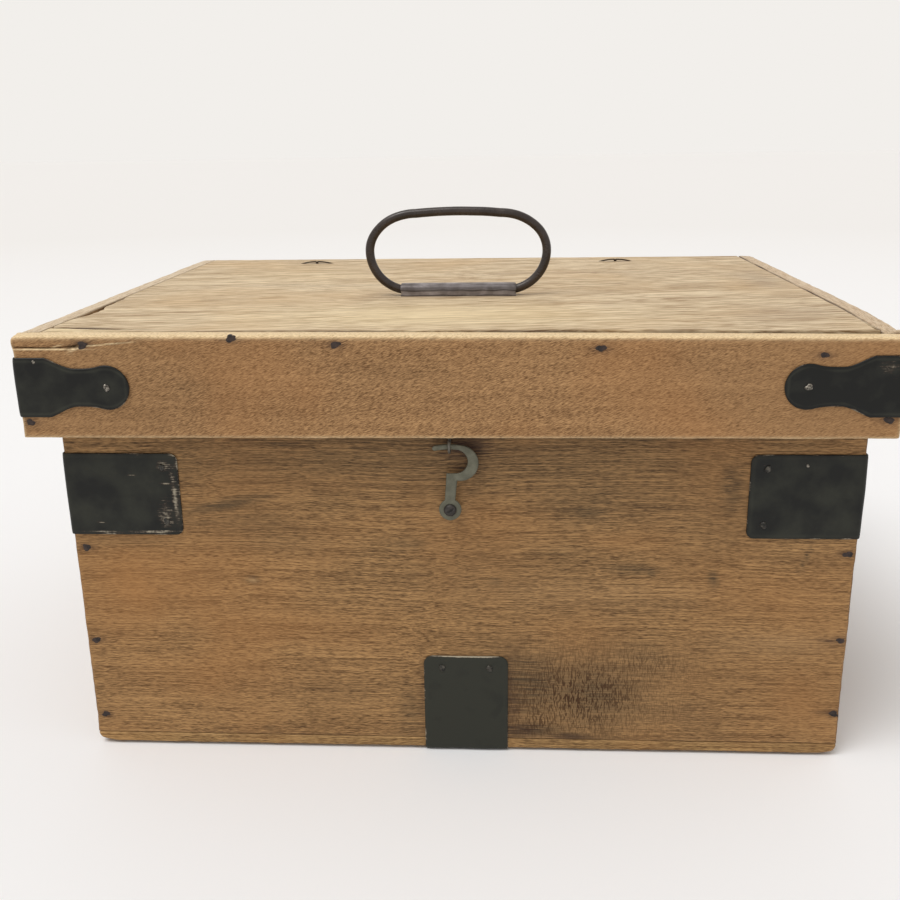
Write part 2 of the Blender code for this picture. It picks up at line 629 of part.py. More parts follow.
def bail_points():
    """Wire of the bail about its lower run: two low corners, two upper corners and a slight arch."""
    half = (BAIL_WIDTH - BAIL_WIRE) / 2
    height = BAIL_HEIGHT - BAIL_WIRE - BAIL_ARCH
    turns = [step * SQUARE / BAIL_STEPS for step in range(BAIL_STEPS + 1)]
    lower = [(half - BAIL_LOWER_REACH * (1 - sin(turn)), BAIL_SIDE_AT * (1 - cos(turn))) for turn in turns]
    upper = [(half - BAIL_UPPER_REACH * (1 - cos(turn)), BAIL_SIDE_AT + (height - BAIL_SIDE_AT) * sin(turn))
             for turn in turns[1:]]
    shares = [1 - step / ARCH_STEPS for step in range(1, ARCH_STEPS)]
    arch = [(share * (half - BAIL_UPPER_REACH), height + BAIL_ARCH * (1 - share**2)) for share in shares]
    right = [(BAIL_END_GAP / 2, 0.0), *lower, *upper, *arch]
    left = [(-x, z) for x, z in reversed(right)]
    return [Vector((x, 0, z)) for x, z in (*right, (0.0, height + BAIL_ARCH), *left)]


def handle(lid, lid_axis):
    bail_axis = add_axis("bail_axis", BAIL_AXIS, lid_axis)
    bent_wire("handle_bail", bail_points(), BAIL_WIRE, BAIL_SIDES, BAIL_STEEL,
              Matrix.Translation(BAIL_AXIS), bail_axis)

    foot = PANEL_LOW_Z - SEAT_GAP - CLIP_GAUGE - BAIL_AXIS.z
    half = CLIP_LENGTH / 2
    over = arc((0, 0), CLIP_BORE, 2 * SQUARE, 0, 2 * ROUND_STEPS)
    path = [(-CLIP_BORE - CLIP_FOOT, foot), (-CLIP_BORE, foot), *over, (CLIP_BORE, foot),
            (CLIP_BORE + CLIP_FOOT, foot)]
    bent_sheet("handle_clip", [(y, z, half) for y, z in path], CLIP_GAUGE, CLIP_STEEL,
               Matrix.Translation(BAIL_AXIS) @ SIDEWAYS, lid_axis)
    shape = bmesh.new()
    slot = (CLIP_LENGTH + 2 * HOLE_CLEARANCE, CLIP_GAUGE + 2 * HOLE_CLEARANCE, 3 * LID_PANEL, 1)
    for sign in (-1, 1):
        y = BAIL_AXIS.y + sign * (CLIP_BORE + CLIP_GAUGE / 2)
        middle = Matrix.Translation((BAIL_AXIS.x, y, LID_TOP_Z - LID_PANEL / 2))
        bmesh.ops.create_cube(shape, size=1.0, matrix=middle @ Matrix.Diagonal(slot))
    cut(lid["panel"], add_cutter("clip_slots", shape))


def main():
    case = case_boards()
    corner_plates(case)
    base_straps(case)
    lid_axis = add_axis("lid_axis", (0, HINGE_Y, HINGE_Z))
    lid = lid_boards(lid_axis)
    lid_straps(lid, lid_axis)
    hinges(case, lid, lid_axis)
    latch(case, lid, lid_axis)
    handle(lid, lid_axis)


main()
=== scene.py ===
import bmesh
import bpy
import numpy as np
from mathutils import Matrix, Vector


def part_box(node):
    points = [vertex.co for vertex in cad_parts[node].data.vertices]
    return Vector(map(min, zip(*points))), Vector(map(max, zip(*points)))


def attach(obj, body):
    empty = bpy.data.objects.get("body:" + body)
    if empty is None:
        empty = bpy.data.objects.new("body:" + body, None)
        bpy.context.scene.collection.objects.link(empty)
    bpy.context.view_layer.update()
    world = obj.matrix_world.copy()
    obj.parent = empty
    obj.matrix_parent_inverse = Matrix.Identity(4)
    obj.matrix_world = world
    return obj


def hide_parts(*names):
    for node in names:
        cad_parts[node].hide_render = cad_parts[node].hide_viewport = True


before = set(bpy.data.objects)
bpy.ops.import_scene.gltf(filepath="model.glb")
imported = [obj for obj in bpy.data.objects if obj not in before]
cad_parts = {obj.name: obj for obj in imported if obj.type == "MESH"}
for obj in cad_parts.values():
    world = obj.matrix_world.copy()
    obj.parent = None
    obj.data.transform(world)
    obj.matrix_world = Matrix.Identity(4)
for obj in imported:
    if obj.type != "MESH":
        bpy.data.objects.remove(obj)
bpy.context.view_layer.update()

mm = 0.001
square = np.pi / 2


def linear(code):  # sRGB hex to linear light, by the standard curve
    part = np.array([int(code[i:i + 2], 16) for i in (1, 3, 5)]) / 255
    return (*np.where(part > 0.04045, ((part + 0.055) / 1.055) ** 2.4, part / 12.92), 1.0)


def add(tree, kind, inputs, out=0, **settings):  # one node with its settings, values and links
    made = tree.nodes.new("ShaderNode" + kind)
    for key, value in settings.items():
        setattr(made, key, value)
    for key, value in inputs.items():
        if isinstance(value, bpy.types.NodeSocket):
            tree.links.new(value, made.inputs[key])
        else:
            made.inputs[key].default_value = value
    return made.outputs[out]


def newMaterial(name, **sockets):
    material = bpy.data.materials.new(name)
    material.use_nodes = True
    shader = material.node_tree.nodes["Principled BSDF"]
    for key, value in sockets.items():
        shader.inputs[key.replace("_", " ")].default_value = value
    return material, material.node_tree, shader.inputs


# Wood: band, streak and fibre are length and width in mm and detail; weights are theirs in that order;
# rings are spacing in mm and weight; sizes, sway, curl and relief are mm; turn and slope are degrees

everyTeak = {"swaySize": 90.0, "cloudSize": 70, "rippleSize": (0.62, 2.8), "smoothed": 0.75,
             "dirt": "#3A2116", "turn": 0, "slope": 0}
caseWood = {  # planed teak, waxed long ago: brown with fine dark pores, grey water and iron stains
    **everyTeak, "dark": "#5B4127", "light": "#B88F5E", "warm": "#A67443", "pore": "#432A14",
    "ripple": "#A9855A", "stain": "#3A3428", "bare": "#C09A6C", "ink": "#33201D",
    "band": (200, 6.0, 2.0), "streak": (56, 0.28, 1.0), "fibre": (3.2, 0.18, 1.0), "rings": (7.0, 0.2),
    "weights": (0.45, 2.3, 2.9), "sway": 5.0, "curl": 0.4, "curlSize": 8.0,
    "pores": 0.16, "warmth": 0.3, "roughness": 0.52, "relief": 0.12,
}
skirtWood = {  # curly teak: the fibres wave, so short bright and dark flecks lie at a slope
    **everyTeak, "dark": "#69492B", "light": "#BE9466", "warm": "#A97647", "pore": "#482E15",
    "ripple": "#8E6A40", "stain": "#4A3822", "bare": "#EED4A8", "ink": "#3A2620",
    "band": (120, 7.0, 2.0), "streak": (3.4, 0.36, 1.0), "fibre": (1.8, 0.25, 1.0), "rings": (7.0, 0.07),
    "weights": (0.6, 0.95, 2.2), "sway": 4.0, "curl": 0.7, "curlSize": 4.0, "slope": 18,
    "pores": 0.2, "warmth": 0.35, "roughness": 0.5, "relief": 0.05,
}
panelWood = {  # sun-bleached teak: pale and dry, with long grain a little aslant; its paleness is partly painted light, lighter than the fronts for the extra light the top gets from above
    **everyTeak, "dark": "#9C7F5A", "light": "#E5D0AD", "warm": "#D0AE7F", "pore": "#735638",
    "ripple": "#BFA27A", "stain": "#6A5C58", "bare": "#F2DCAE", "ink": "#4A332B",
    "band": (320, 18.0, 2.0), "streak": (40, 1.7, 3.0), "fibre": (14, 0.8, 2.0), "rings": (8.0, 0.35),
    "weights": (0.8, 1.7, 3.2), "sway": 9.0, "curl": 0.4, "curlSize": 12.0, "turn": -7,
    "pores": 0.4, "warmth": 0.4, "roughness": 0.55, "relief": 0.06,
}
caseSideWood = {**caseWood, "turn": 90}
# the ends of the lid are straighter
skirtSideWood = {**skirtWood, "streak": (14, 0.5, 1.0), "fibre": (3.4, 0.3, 1.0), "slope": 2, "turn": 90,
                 "bare": "#D8C4A6"}
bottomWood = {**caseWood, "dark": "#62482B", "light": "#BC9663", "roughness": 0.62}


def teak(name, look):
    material, tree, sockets = newMaterial(name, Specular_IOR_Level=0.2)
    place = add(tree, "TexCoord", {}, "Object")
    mark = {key: add(tree, "Attribute", {}, "Fac", attribute_name=key)
            for key in ("calm", "warm", "figure", "stain", "ink", "bare", "dirt")}
    along = add(tree, "Mapping", {"Vector": place, "Rotation": (0, 0, np.radians(look["turn"]))})
    # the grain wanders slowly and curls quickly: place + size of the bend * noise
    for size, reach in ((look["swaySize"], look["sway"]), (look["curlSize"], look["curl"])):
        bend = add(tree, "TexNoise", {"Vector": along, "Scale": 1 / (size * mm), "Detail": 1.0}, "Color")
        bend = add(tree, "VectorMath", {0: bend, 1: (0.5, 0.5, 0.5)}, operation="SUBTRACT")
        along = add(tree, "VectorMath", {0: bend, 1: (0.0, reach * mm, reach * mm), 2: along},
                    operation="MULTIPLY_ADD")
    slanted = add(tree, "Mapping", {"Vector": along, "Rotation": (0, np.radians(look["slope"]), 0)})
    layer = {}
    for key, source in (("band", along), ("streak", slanted), ("fibre", slanted)):
        length, width, detail = look[key]
        cells = (1 / (length * mm), 1 / (width * mm), 1 / (width * mm))
        drawn = add(tree, "VectorMath", {0: source, 1: cells}, operation="MULTIPLY")
        layer[key] = add(tree, "TexNoise", {"Vector": drawn, "Scale": 1.0, "Detail": detail,
                                            "Roughness": 0.6})
    # growth rings round the grain's own axis, each fading from light to dark
    spacing, ringWeight = look["rings"]
    rings = add(tree, "TexWave", {"Vector": along, "Scale": np.pi / 10 / (spacing * mm)}, "Fac",
                wave_type="RINGS", rings_direction="X", wave_profile="SAW")
    middle = 0.5 + 0.5 * ringWeight - 0.5 * sum(look["weights"])  # leaves the mean tone half way
    tone = add(tree, "Math", {0: rings, 1: -ringWeight, 2: middle}, operation="MULTIPLY_ADD")
    for key, weight in zip(layer, look["weights"]):
        tone = add(tree, "Math", {0: layer[key], 1: weight, 2: tone}, operation="MULTIPLY_ADD",
                   use_clamp=key == "fibre")
    tone = add(tree, "Mix", {0: mark["calm"], 2: tone, 3: 0.5})
    clouds = add(tree, "TexNoise", {"Vector": place, "Scale": 1 / (look["cloudSize"] * mm), "Detail": 2.0})
    clouds = add(tree, "MapRange", {0: clouds, 1: 0.45, 2: 0.7, 4: look["warmth"]})
    clouds = add(tree, "Math", {0: clouds, 1: mark["warm"]}, operation="ADD", use_clamp=True)
    pores = add(tree, "MapRange", {0: layer["fibre"], 1: 0.45, 2: 0.33, 4: look["pores"]})
    # ripple figure where the mark says: dark streaks across the grain, about 1.5 mm apart, on smoother wood
    thin, tall = look["rippleSize"]
    cells = (1 / (thin * mm), 1 / (thin * mm), 1 / (tall * mm))
    ripple = add(tree, "VectorMath", {0: along, 1: cells}, operation="MULTIPLY")
    ripple = add(tree, "TexNoise", {"Vector": ripple, "Scale": 1.0, "Detail": 1.0, "Distortion": 0.6})
    ripple = add(tree, "MapRange", {0: ripple, 1: 0.52, 2: 0.42})
    ripple = add(tree, "Math", {0: ripple, 1: mark["figure"]}, operation="MULTIPLY")
    smooth = add(tree, "Math", {0: mark["figure"], 1: look["smoothed"]}, operation="MULTIPLY")
    # stains, and the painted shade just under the lid's edge, soak in along the streaks; blue black ones lie
    # where iron has met the tannin in the wood; bare pale wood lies in patches on worn arrises and in fresh
    # splits
    soak = add(tree, "MapRange", {0: layer["streak"], 1: 0.3, 2: 0.7, 3: 1.35, 4: 0.55})
    patch = add(tree, "MapRange", {0: layer["streak"], 1: 0.35, 2: 0.6, 3: 0.5, 4: 1.1})
    stain, ink, bare = (add(tree, "Math", {0: mark[key], 1: share}, operation="MULTIPLY", use_clamp=True)
                        for key, share in (("stain", soak), ("ink", soak), ("bare", patch)))
    # the tints in the order they lie, dark dirt in the joints and painted edge shade last
    colour = linear(look["dark"])
    for share, tint in ((tone, "light"), (clouds, "warm"), (pores, "pore"), (smooth, "ripple"),
                        (stain, "stain"), (ink, "ink"), (ripple, "pore"), (bare, "bare"),
                        (mark["dirt"], "dirt")):
        colour = add(tree, "Mix", {0: share, 6: colour, 7: linear(look[tint])}, 2, data_type="RGBA")
    tree.links.new(colour, sockets["Base Color"])
    gloss = add(tree, "MapRange", {0: layer["streak"], 1: 0.3, 2: 0.7, 3: look["roughness"] + 0.1,
                                   4: look["roughness"] - 0.06})
    tree.links.new(gloss, sockets["Roughness"])
    height = add(tree, "Math", {0: layer["fibre"], 1: 0.7, 2: layer["streak"]}, operation="MULTIPLY_ADD")
    height = add(tree, "Math", {0: height, 1: pores}, operation="SUBTRACT")
    bump = add(tree, "Bump", {"Height": height, "Strength": 0.6, "Distance": look["relief"] * mm})
    tree.links.new(bump, sockets["Normal"])
    return material


woods = {  # each finish and the record's slot that it belongs to
    "case": (teak("planedTeakLong", caseWood), "case_wood"),
    "caseSide": (teak("planedTeakShort", caseSideWood), "case_wood"),
    "skirt": (teak("curlyTeakLong", skirtWood), "lid_skirt_wood"),
    "skirtSide": (teak("straightTeakShort", skirtSideWood), "lid_skirt_wood"),
    "panel": (teak("bleachedTopLitTeak", panelWood), "lid_panel_wood"),
    "bottom": (teak("sawnTeak", bottomWood), "bottom_wood"),
}
print("wood finishes made")


# Metals

def japannedIron():  # black baked varnish on sheet iron: satin, scratched, rubbed to grey metal along rims; a painted highlight also runs just inside the rims, and on the base strap's top rim
    look = {"paint": "#0A0B08", "dusty": "#2C2D25", "rub": "#A29A88", "rust": "#3B2B21",
            "cloud": 10, "speck": 1.1, "scratch": (6, 0.4), "relief": 0.12}  # mm
    material, tree, sockets = newMaterial("japannedIron", IOR=1.35)
    place = add(tree, "TexCoord", {}, "Object")
    # the dust mark also carries the painted highlight line just inside the rims
    worn, dust = (add(tree, "Attribute", {}, "Fac", attribute_name=key) for key in ("bare", "dust"))
    cloud = add(tree, "TexNoise", {"Vector": place, "Scale": 1 / (look["cloud"] * mm), "Detail": 4.0})
    cloud = add(tree, "MapRange", {0: cloud, 1: 0.35, 2: 0.7, 3: -0.35, 4: 0.45})
    cloud = add(tree, "Math", {0: cloud, 1: dust}, operation="ADD", use_clamp=True)
    speck = add(tree, "TexNoise", {"Vector": place, "Scale": 1 / (look["speck"] * mm), "Detail": 3.0})
    # level scratches, 6 mm long and drawn 0.4 mm wide so that they show
    length, width = look["scratch"]
    cells = (1 / (length * mm), 1 / (length * mm), 1 / (width * mm))
    scratch = add(tree, "VectorMath", {0: place, 1: cells}, operation="MULTIPLY")
    scratch = add(tree, "TexNoise", {"Vector": scratch, "Scale": 1.0, "Detail": 2.0})
    rub = add(tree, "Math", {0: scratch, 1: 0.8, 2: worn}, operation="MULTIPLY_ADD")
    rub = add(tree, "Math", {0: speck, 1: 0.4, 2: rub}, operation="MULTIPLY_ADD")
    rust = add(tree, "MapRange", {0: rub, 1: 0.85, 2: 1.05, 4: 0.7})
    rub = add(tree, "MapRange", {0: rub, 1: 0.98, 2: 1.2})
    colour = linear(look["paint"])
    for share, tint in ((cloud, "dusty"), (rust, "rust"), (rub, "rub")):
        colour = add(tree, "Mix", {0: share, 6: colour, 7: linear(look[tint])}, 2, data_type="RGBA")
    tree.links.new(colour, sockets["Base Color"])
    tree.links.new(add(tree, "Math", {0: rub, 1: 0.6}, operation="MULTIPLY"), sockets["Metallic"])
    tree.links.new(add(tree, "MapRange", {0: cloud, 3: 0.36, 4: 0.52}), sockets["Roughness"])
    height = add(tree, "Math", {0: speck, 1: 0.25, 2: cloud}, operation="MULTIPLY_ADD")
    bump = add(tree, "Bump", {"Height": height, "Strength": 0.35, "Distance": look["relief"] * mm})
    tree.links.new(bump, sockets["Normal"])
    return material


oldMetals = {"blotch": 5, "relief": 0.08, "grime": "#2B2523"}  # blotches in grits, relief in mm


def oldMetal(name, base, tint, grit, rough, metallic):  # two tones in soft blotches, pitted; grit in mm
    material, tree, sockets = newMaterial(name, Metallic=metallic)
    place = add(tree, "TexCoord", {}, "Object")
    # this mark brings the clip's painted shade: its dark lines and the darker shade over its fold
    grime = add(tree, "Attribute", {}, "Fac", attribute_name="grime")
    size = grit * oldMetals["blotch"]
    cloud = add(tree, "TexNoise", {"Vector": place, "Scale": 1 / (size * mm), "Detail": 4.0})
    cloud = add(tree, "MapRange", {0: cloud, 1: 0.38, 2: 0.66})
    pits = add(tree, "TexNoise", {"Vector": place, "Scale": 1 / (grit * mm), "Detail": 3.0})
    colour = linear(base)
    for share, shade in ((cloud, tint), (grime, oldMetals["grime"])):
        colour = add(tree, "Mix", {0: share, 6: colour, 7: linear(shade)}, 2, data_type="RGBA")
    tree.links.new(colour, sockets["Base Color"])
    gloss = add(tree, "MapRange", {0: pits, 1: 0.3, 2: 0.7, 3: rough - 0.08, 4: rough + 0.12})
    tree.links.new(gloss, sockets["Roughness"])
    bump = add(tree, "Bump", {"Height": pits, "Strength": 0.4, "Distance": oldMetals["relief"] * mm})
    tree.links.new(bump, sockets["Normal"])
    return material


metals = {
    "iron": japannedIron(),
    # cut nails, blackened by tannin: matt, near black
    "nail": oldMetal("blackenedNailIron", "#241D1C", "#43352F", 0.5, 0.6, 0.3),
    # tack heads rubbed bright on top: small clear glints
    "tack": oldMetal("rubbedTackIron", "#2C2926", "#A39C90", 0.16, 0.3, 0.8),
    # tack heads still mostly black: a dark bead with a small glint
    "blackTack": oldMetal("blackedTackIron", "#1F1E1B", "#5A564E", 0.4, 0.28, 0.5),
    # drawn steel wire under brown-black oxide: dark body, soft clear highlight
    "bail": oldMetal("brownedSteelWire", "#2A211D", "#3A302B", 1.6, 0.3, 0.15),
    # rolled tinned sheet gone dull: cool grey, blotched
    "clip": oldMetal("tinnedSheet", "#78716F", "#9E9797", 1.2, 0.42, 0.7),
    # stamped plated steel under grey green tarnish
    "hook": oldMetal("tarnishedPlate", "#5C5B4D", "#6D6C5D", 0.7, 0.5, 0.4),
    # drawn soft steel wire, still grey
    "eye": oldMetal("greySteelWire", "#5A5750", "#716D64", 0.6, 0.42, 0.6),
    # the same wire blackened by tannin, and the blued screw
    "wire": oldMetal("tannedSteelWire", "#2F2417", "#4A3924", 0.6, 0.58, 0.1),
    "screw": oldMetal("bluedScrew", "#2F2C2A", "#433E3A", 0.7, 0.45, 0.5),
}
print("metal finishes made")


# Shared shapes

right, back, up = np.eye(3)


def unit(vectors):
    return vectors / np.linalg.norm(vectors, axis=-1, keepdims=True)


def runAlong(points):  # length of a line up to each of its points
    return np.concatenate([[0], np.cumsum(np.linalg.norm(np.diff(points, axis=0), axis=1))])


def mirrored(across, level):  # one half of a line, then its mirror image
    return np.concatenate([across, -across[-2::-1]]), np.concatenate([level, level[-2::-1]])


def cubic(t, low, slopeLow, high, slopeHigh, run):  # cubic from low to high with given slopes at its ends
    return ((2 * t ** 3 - 3 * t ** 2 + 1) * low + (t ** 3 - 2 * t ** 2 + t) * run * slopeLow
            + (3 * t ** 2 - 2 * t ** 3) * high + (t ** 3 - t ** 2) * run * slopeHigh)


def bell(distance, size):  # exp(-(distance / size)^2), with the size in mm
    return np.exp(-(distance / (size * mm)) ** 2)


def fall(distance, size):  # straight down from 1 to 0 over a size in mm
    return np.clip(1 - distance / (size * mm), 0, 1)


def unevenness(points, size, seed):
    # sum of sine waves in random directions, each about size mm long, within about -1 to 1
    waves = 14
    rng = np.random.default_rng(seed)
    heading = rng.normal(size=(3, waves))
    heading *= rng.uniform(0.6, 1.6, waves) * 2 * np.pi / (size * mm) / np.linalg.norm(heading, axis=0)
    return np.sin(points @ heading + rng.uniform(0, 2 * np.pi, waves)).sum(-1) * 0.2


def softSpots(u, v, spots):
    # strength * exp(-(along / length)^2 - (across / height)^2), where the strongest spot wins; a spot is
    # (place along, place up, half length, half height in mm, slope in degrees, strength)
    if not len(spots):
        return np.zeros_like(u)
    at, over, length, height, slope, strength = np.array(spots, float).T
    du, dv = u[:, None] - at * mm, v[:, None] - over * mm
    turn = np.radians(slope)
    along, across = du * np.cos(turn) + dv * np.sin(turn), dv * np.cos(turn) - du * np.sin(turn)
    return (strength * np.exp(-(along / (length * mm)) ** 2 - (across / (height * mm)) ** 2)).max(1)


def gridFaces(rows, columns, wrap=True):  # quads between neighbouring rows; the columns close to a ring
    i, j = np.meshgrid(np.arange(rows - 1), np.arange(columns if wrap else columns - 1), indexing="ij")
    here, there, k = i * columns, (i + 1) * columns, (j + 1) % columns
    return np.stack([here + j, here + k, there + k, there + j], -1).reshape(-1, 4)


def pieceName(node):  # case_front_board becomes caseFrontBoard
    first, *rest = node.split("_")
    return first + "".join(word.title() for word in rest)


def makePiece(name, body, points, quads, material, slot, nodes, marks=None):
    mesh = bpy.data.meshes.new(name)
    mesh.vertices.add(len(points))
    mesh.vertices.foreach_set("co", points.astype(np.float32).ravel())
    mesh.loops.add(quads.size)
    mesh.loops.foreach_set("vertex_index", quads.astype(np.int32).ravel())
    mesh.polygons.add(len(quads))
    mesh.polygons.foreach_set("loop_start", np.arange(len(quads), dtype=np.int32) * 4)
    mesh.update(calc_edges=True)
    for key, values in (marks or {}).items():
        mesh.attributes.new(key, "FLOAT", "POINT").data.foreach_set("value", values.astype(np.float32))
    shape = bmesh.new()
    shape.from_mesh(mesh)
    bmesh.ops.remove_doubles(shape, verts=shape.verts, dist=0.001 * mm)
    bmesh.ops.recalc_face_normals(shape, faces=shape.faces)
    shape.to_mesh(mesh)
    shape.free()
    mesh.polygons.foreach_set("use_smooth", np.ones(len(mesh.polygons), dtype=bool))
    mesh.materials.append(material)
    piece = bpy.data.objects.new(name, mesh)
    bpy.context.scene.collection.objects.link(piece)
    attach(piece, body)
    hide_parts(*nodes)


# Boards: faces of the wood, and flush cut nails by place, in mm

caseLeft, caseRight, caseFront, caseBack, woodLow = -175.4, 178.2, -132.55, 122.25, 1.3
lidHalf, lidFront = 187.3, -142.75
nailRows = {
    "caseEnds": ((-170.2, 103.0), (-171.0, 55.7), (-170.8, 16.0), (174.6, 102.3), (175.2, 60.0),
                 (175.6, 22.4)),
    "underLong": ((-127.5, 117.3), (-160, -80, 80, 160)),  # rows at y, nails at x
    "underShort": ((-172, 172), (-60, 20, 80)),  # rows at x, nails at y
    "lidFront": ((-156.8, 199.6), (-92.6, 202.0), (-48.3, 199.4), (62.4, 197.6), (153.2, 194.7),
                 (-183.6, 165.6), (182.0, 166.6)),
    "lidSides": ((-96, 199), (-20, 198), (58, 199), (122, 198)),
}
woodNails = {  # place in mm and the way the head faces
    "case": [(x, y, z, 0, out, 0) for y, out in ((caseFront, -1), (caseBack, 1))
             for x, z in nailRows["caseEnds"]]
    + [(x, y, woodLow, 0, 0, -1) for y in nailRows["underLong"][0] for x in nailRows["underLong"][1]]
    + [(x, y, woodLow, 0, 0, -1) for x in nailRows["underShort"][0] for y in nailRows["underShort"][1]],
    "lid": [(x, lidFront, z, 0, -1, 0) for x, z in nailRows["lidFront"]]
    + [(out * lidHalf, y, z, out, 0, 0) for out in (-1, 1) for y, z in nailRows["lidSides"]],
}
boardWear = {  # shared by all boards, mm
    "wear": 8, "tight": 3, "joint": 4,  # how far wear, close edges and the dark joint lines reach in: joint dirt, and painted edge shade on the case front
    "least": 0.2, "rim": 0.9, "planing": 0.12, "flat": 0.1,  # least arris, pale rim, plane marks, on a face
    "pit": (3.2, 1.7, 0, 0.3), "halo": (4.2, 1.9, 0, 0.7),  # spots at every nail
}


def axisCuts(low, high, band, cell, extra):  # close cuts over each arris, even cells between, any extra cuts
    near = band * (1 - np.tan(np.radians([45, 34, 23, 12])))
    count = max(2, round((high - low - 2 * band) / cell))
    middle = np.linspace(low + band, high - band, count + 1)
    return np.unique(np.round(np.concatenate([low + near, middle, high - near, extra]), 7))


def boardSurface(board, low, high):
    # six grids on a box; a point p moves to inner + r * (p - inner) / |p - inner|, where inner is p
    # clamped to the box shrunk by r, and r is the local arris radius
    seed, band = board["seed"], board["band"] * mm
    extra = [np.array(board.get("cuts", {}).get(axis, [])) * mm for axis in range(3)]
    axes = [axisCuts(low[k], high[k], band, board["cell"] * mm, extra[k]) for k in range(3)]
    points, quads, count = [], [], 0
    for axis in range(3):
        u, v = (axis + 1) % 3, (axis + 2) % 3
        for side, order in ((0, -1), (-1, 1)):
            face = np.empty((len(axes[u]), len(axes[v]), 3))
            face[..., axis] = axes[axis][side]
            face[..., u] = axes[u][:, None]
            face[..., v] = axes[v]
            points.append(face.reshape(-1, 3))
            quads.append(gridFaces(*face.shape[:2], wrap=False)[:, ::order] + count)
            count += len(points[-1])
    p = np.concatenate(points)
    reach = np.stack([p - low, high - p])  # distance from each of the six faces
    r = board["arris"] * mm * (1 + 0.35 * unevenness(p, 40, seed) + 0.3 * unevenness(p, 7, seed + 1))
    for axis, side, other, otherSide, more in board.get("worn", []):
        close = fall(reach[side, :, axis], boardWear["wear"])
        close *= fall(reach[otherSide, :, other], boardWear["wear"])
        r += close * more * mm * (1 + 0.35 * unevenness(p, 22, seed + 2))
    for x, y, z, size, more in board.get("chips", []):
        r += more * mm * np.exp(-(((p - np.array([x, y, z]) * mm) / (size * mm)) ** 2).sum(1))
    for axis, side in board.get("tight", []):
        r *= 1 - 0.75 * bell(reach[side, :, axis], boardWear["tight"])
    r = np.clip(r, boardWear["least"] * mm, board.get("most", board["band"]) * mm)[:, None]
    # which side each point turns to
    lower = p - low < (high - low) * np.array(board.get("split", (0.5, 0.5, 0.5)))
    inner = np.where(lower, np.maximum(p, low + r), np.minimum(p, high - r))
    away = unit(p - inner)
    shaped = inner + r * away
    for axis, side, along, at, length, depth, deep in board.get("bites", []):
        bitten = bell(p[:, along] - at * mm, length) * fall(reach[side, :, axis], deep)
        shaped[:, axis] += (1 - 2 * side) * depth * mm * bitten * (1 + 0.3 * unevenness(p, 9, seed + 4))
    for axis, side, along, drop, power, deep in board.get("tapers", []):
        run = np.clip((p[:, along] - low[along]) / (high[along] - low[along]), 0, 1)
        shaped[:, axis] += (1 - 2 * side) * drop * mm * run ** power * fall(reach[side, :, axis], deep)
    edge = np.sort(reach.min(0), axis=1)[:, 1]  # distance to the nearest arris
    return p, shaped, away, edge, reach, np.concatenate(quads)


def makeBoard(node, board):
    body, seed = node.split("_")[0], board["seed"]
    low, high = (np.array(corner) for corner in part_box(node))
    p, shaped, away, edge, reach, quads = boardSurface(board, low, high)
    axis, side = board["face"]
    u, v = (k for k in range(3) if k != axis)
    level = (low, high)[side][axis]
    shown = np.abs(p[:, axis] - level) < boardWear["flat"] * mm

    def spots(key, more=()):  # a board's spots of one kind, on the face that shows
        return softSpots(p[:, u], p[:, v], [*board.get(key, []), *more]) * shown

    for start, end, height, rise, width, depth in board.get("splits", []):
        # groove along a gently wandering line, fading at both ends
        run = (p[:, u] - start * mm) / ((end - start) * mm)
        line = height * mm + rise * mm * run + 0.25 * mm * np.sin(run * 9)
        inside = np.clip(run * 8, 0, 1) * np.clip((1 - run) * 8, 0, 1) * shown
        shaped -= away * (inside * depth * mm * bell(p[:, v] - line, width))[:, None]
    # every nail sits in a small pit with a dark stain drawn out along the grain
    nails = np.array(woodNails[body], float)
    nails = nails[(nails[:, 3 + axis] == 2 * side - 1) & (np.abs(nails[:, axis] * mm - level) < 0.5 * mm)]
    pits, halos = ([(nail[u], nail[v], *boardWear[key]) for nail in nails] for key in ("pit", "halo"))
    planing = np.clip(0.5 + 0.5 * unevenness(p, 35, seed + 3), 0, 1) * boardWear["planing"] * mm
    shaped -= away * (spots("dents", pits) * mm + planing * np.clip(edge / (3 * mm), 0, 1))[:, None]
    bleach, dirt = np.zeros(len(p)), spots("grime")
    for face, end, amount in board.get("bleached", []):
        bleach = np.maximum(bleach, amount * (reach[end, :, face] < boardWear["flat"] * mm))
    patch = np.clip(0.75 + 0.6 * unevenness(p, 45, seed + 5), 0, 1.3)
    for face, end, other, otherEnd, strength, width in board.get("joints", []):
        line = bell(reach[end, :, face], width) * bell(reach[otherEnd, :, other], boardWear["joint"])
        dirt = np.maximum(dirt, strength * patch * line)
    marks = {key: spots(key + "s", halos if key == "ink" else ())
             for key in ("stain", "ink", "warm", "calm", "figure")}
    marks["dirt"] = dirt * (1 - softSpots(p[:, u], p[:, v], board.get("clean", [])))
    marks["bare"] = np.maximum(board["rubbed"] * bell(edge, boardWear["rim"]), bleach) + spots("fresh")
    material, slot = woods[board["wood"]]
    makePiece(pieceName(node), body, shaped, quads, material, slot, [node],
              {key: np.clip(values, 0, 1) for key, values in marks.items()})


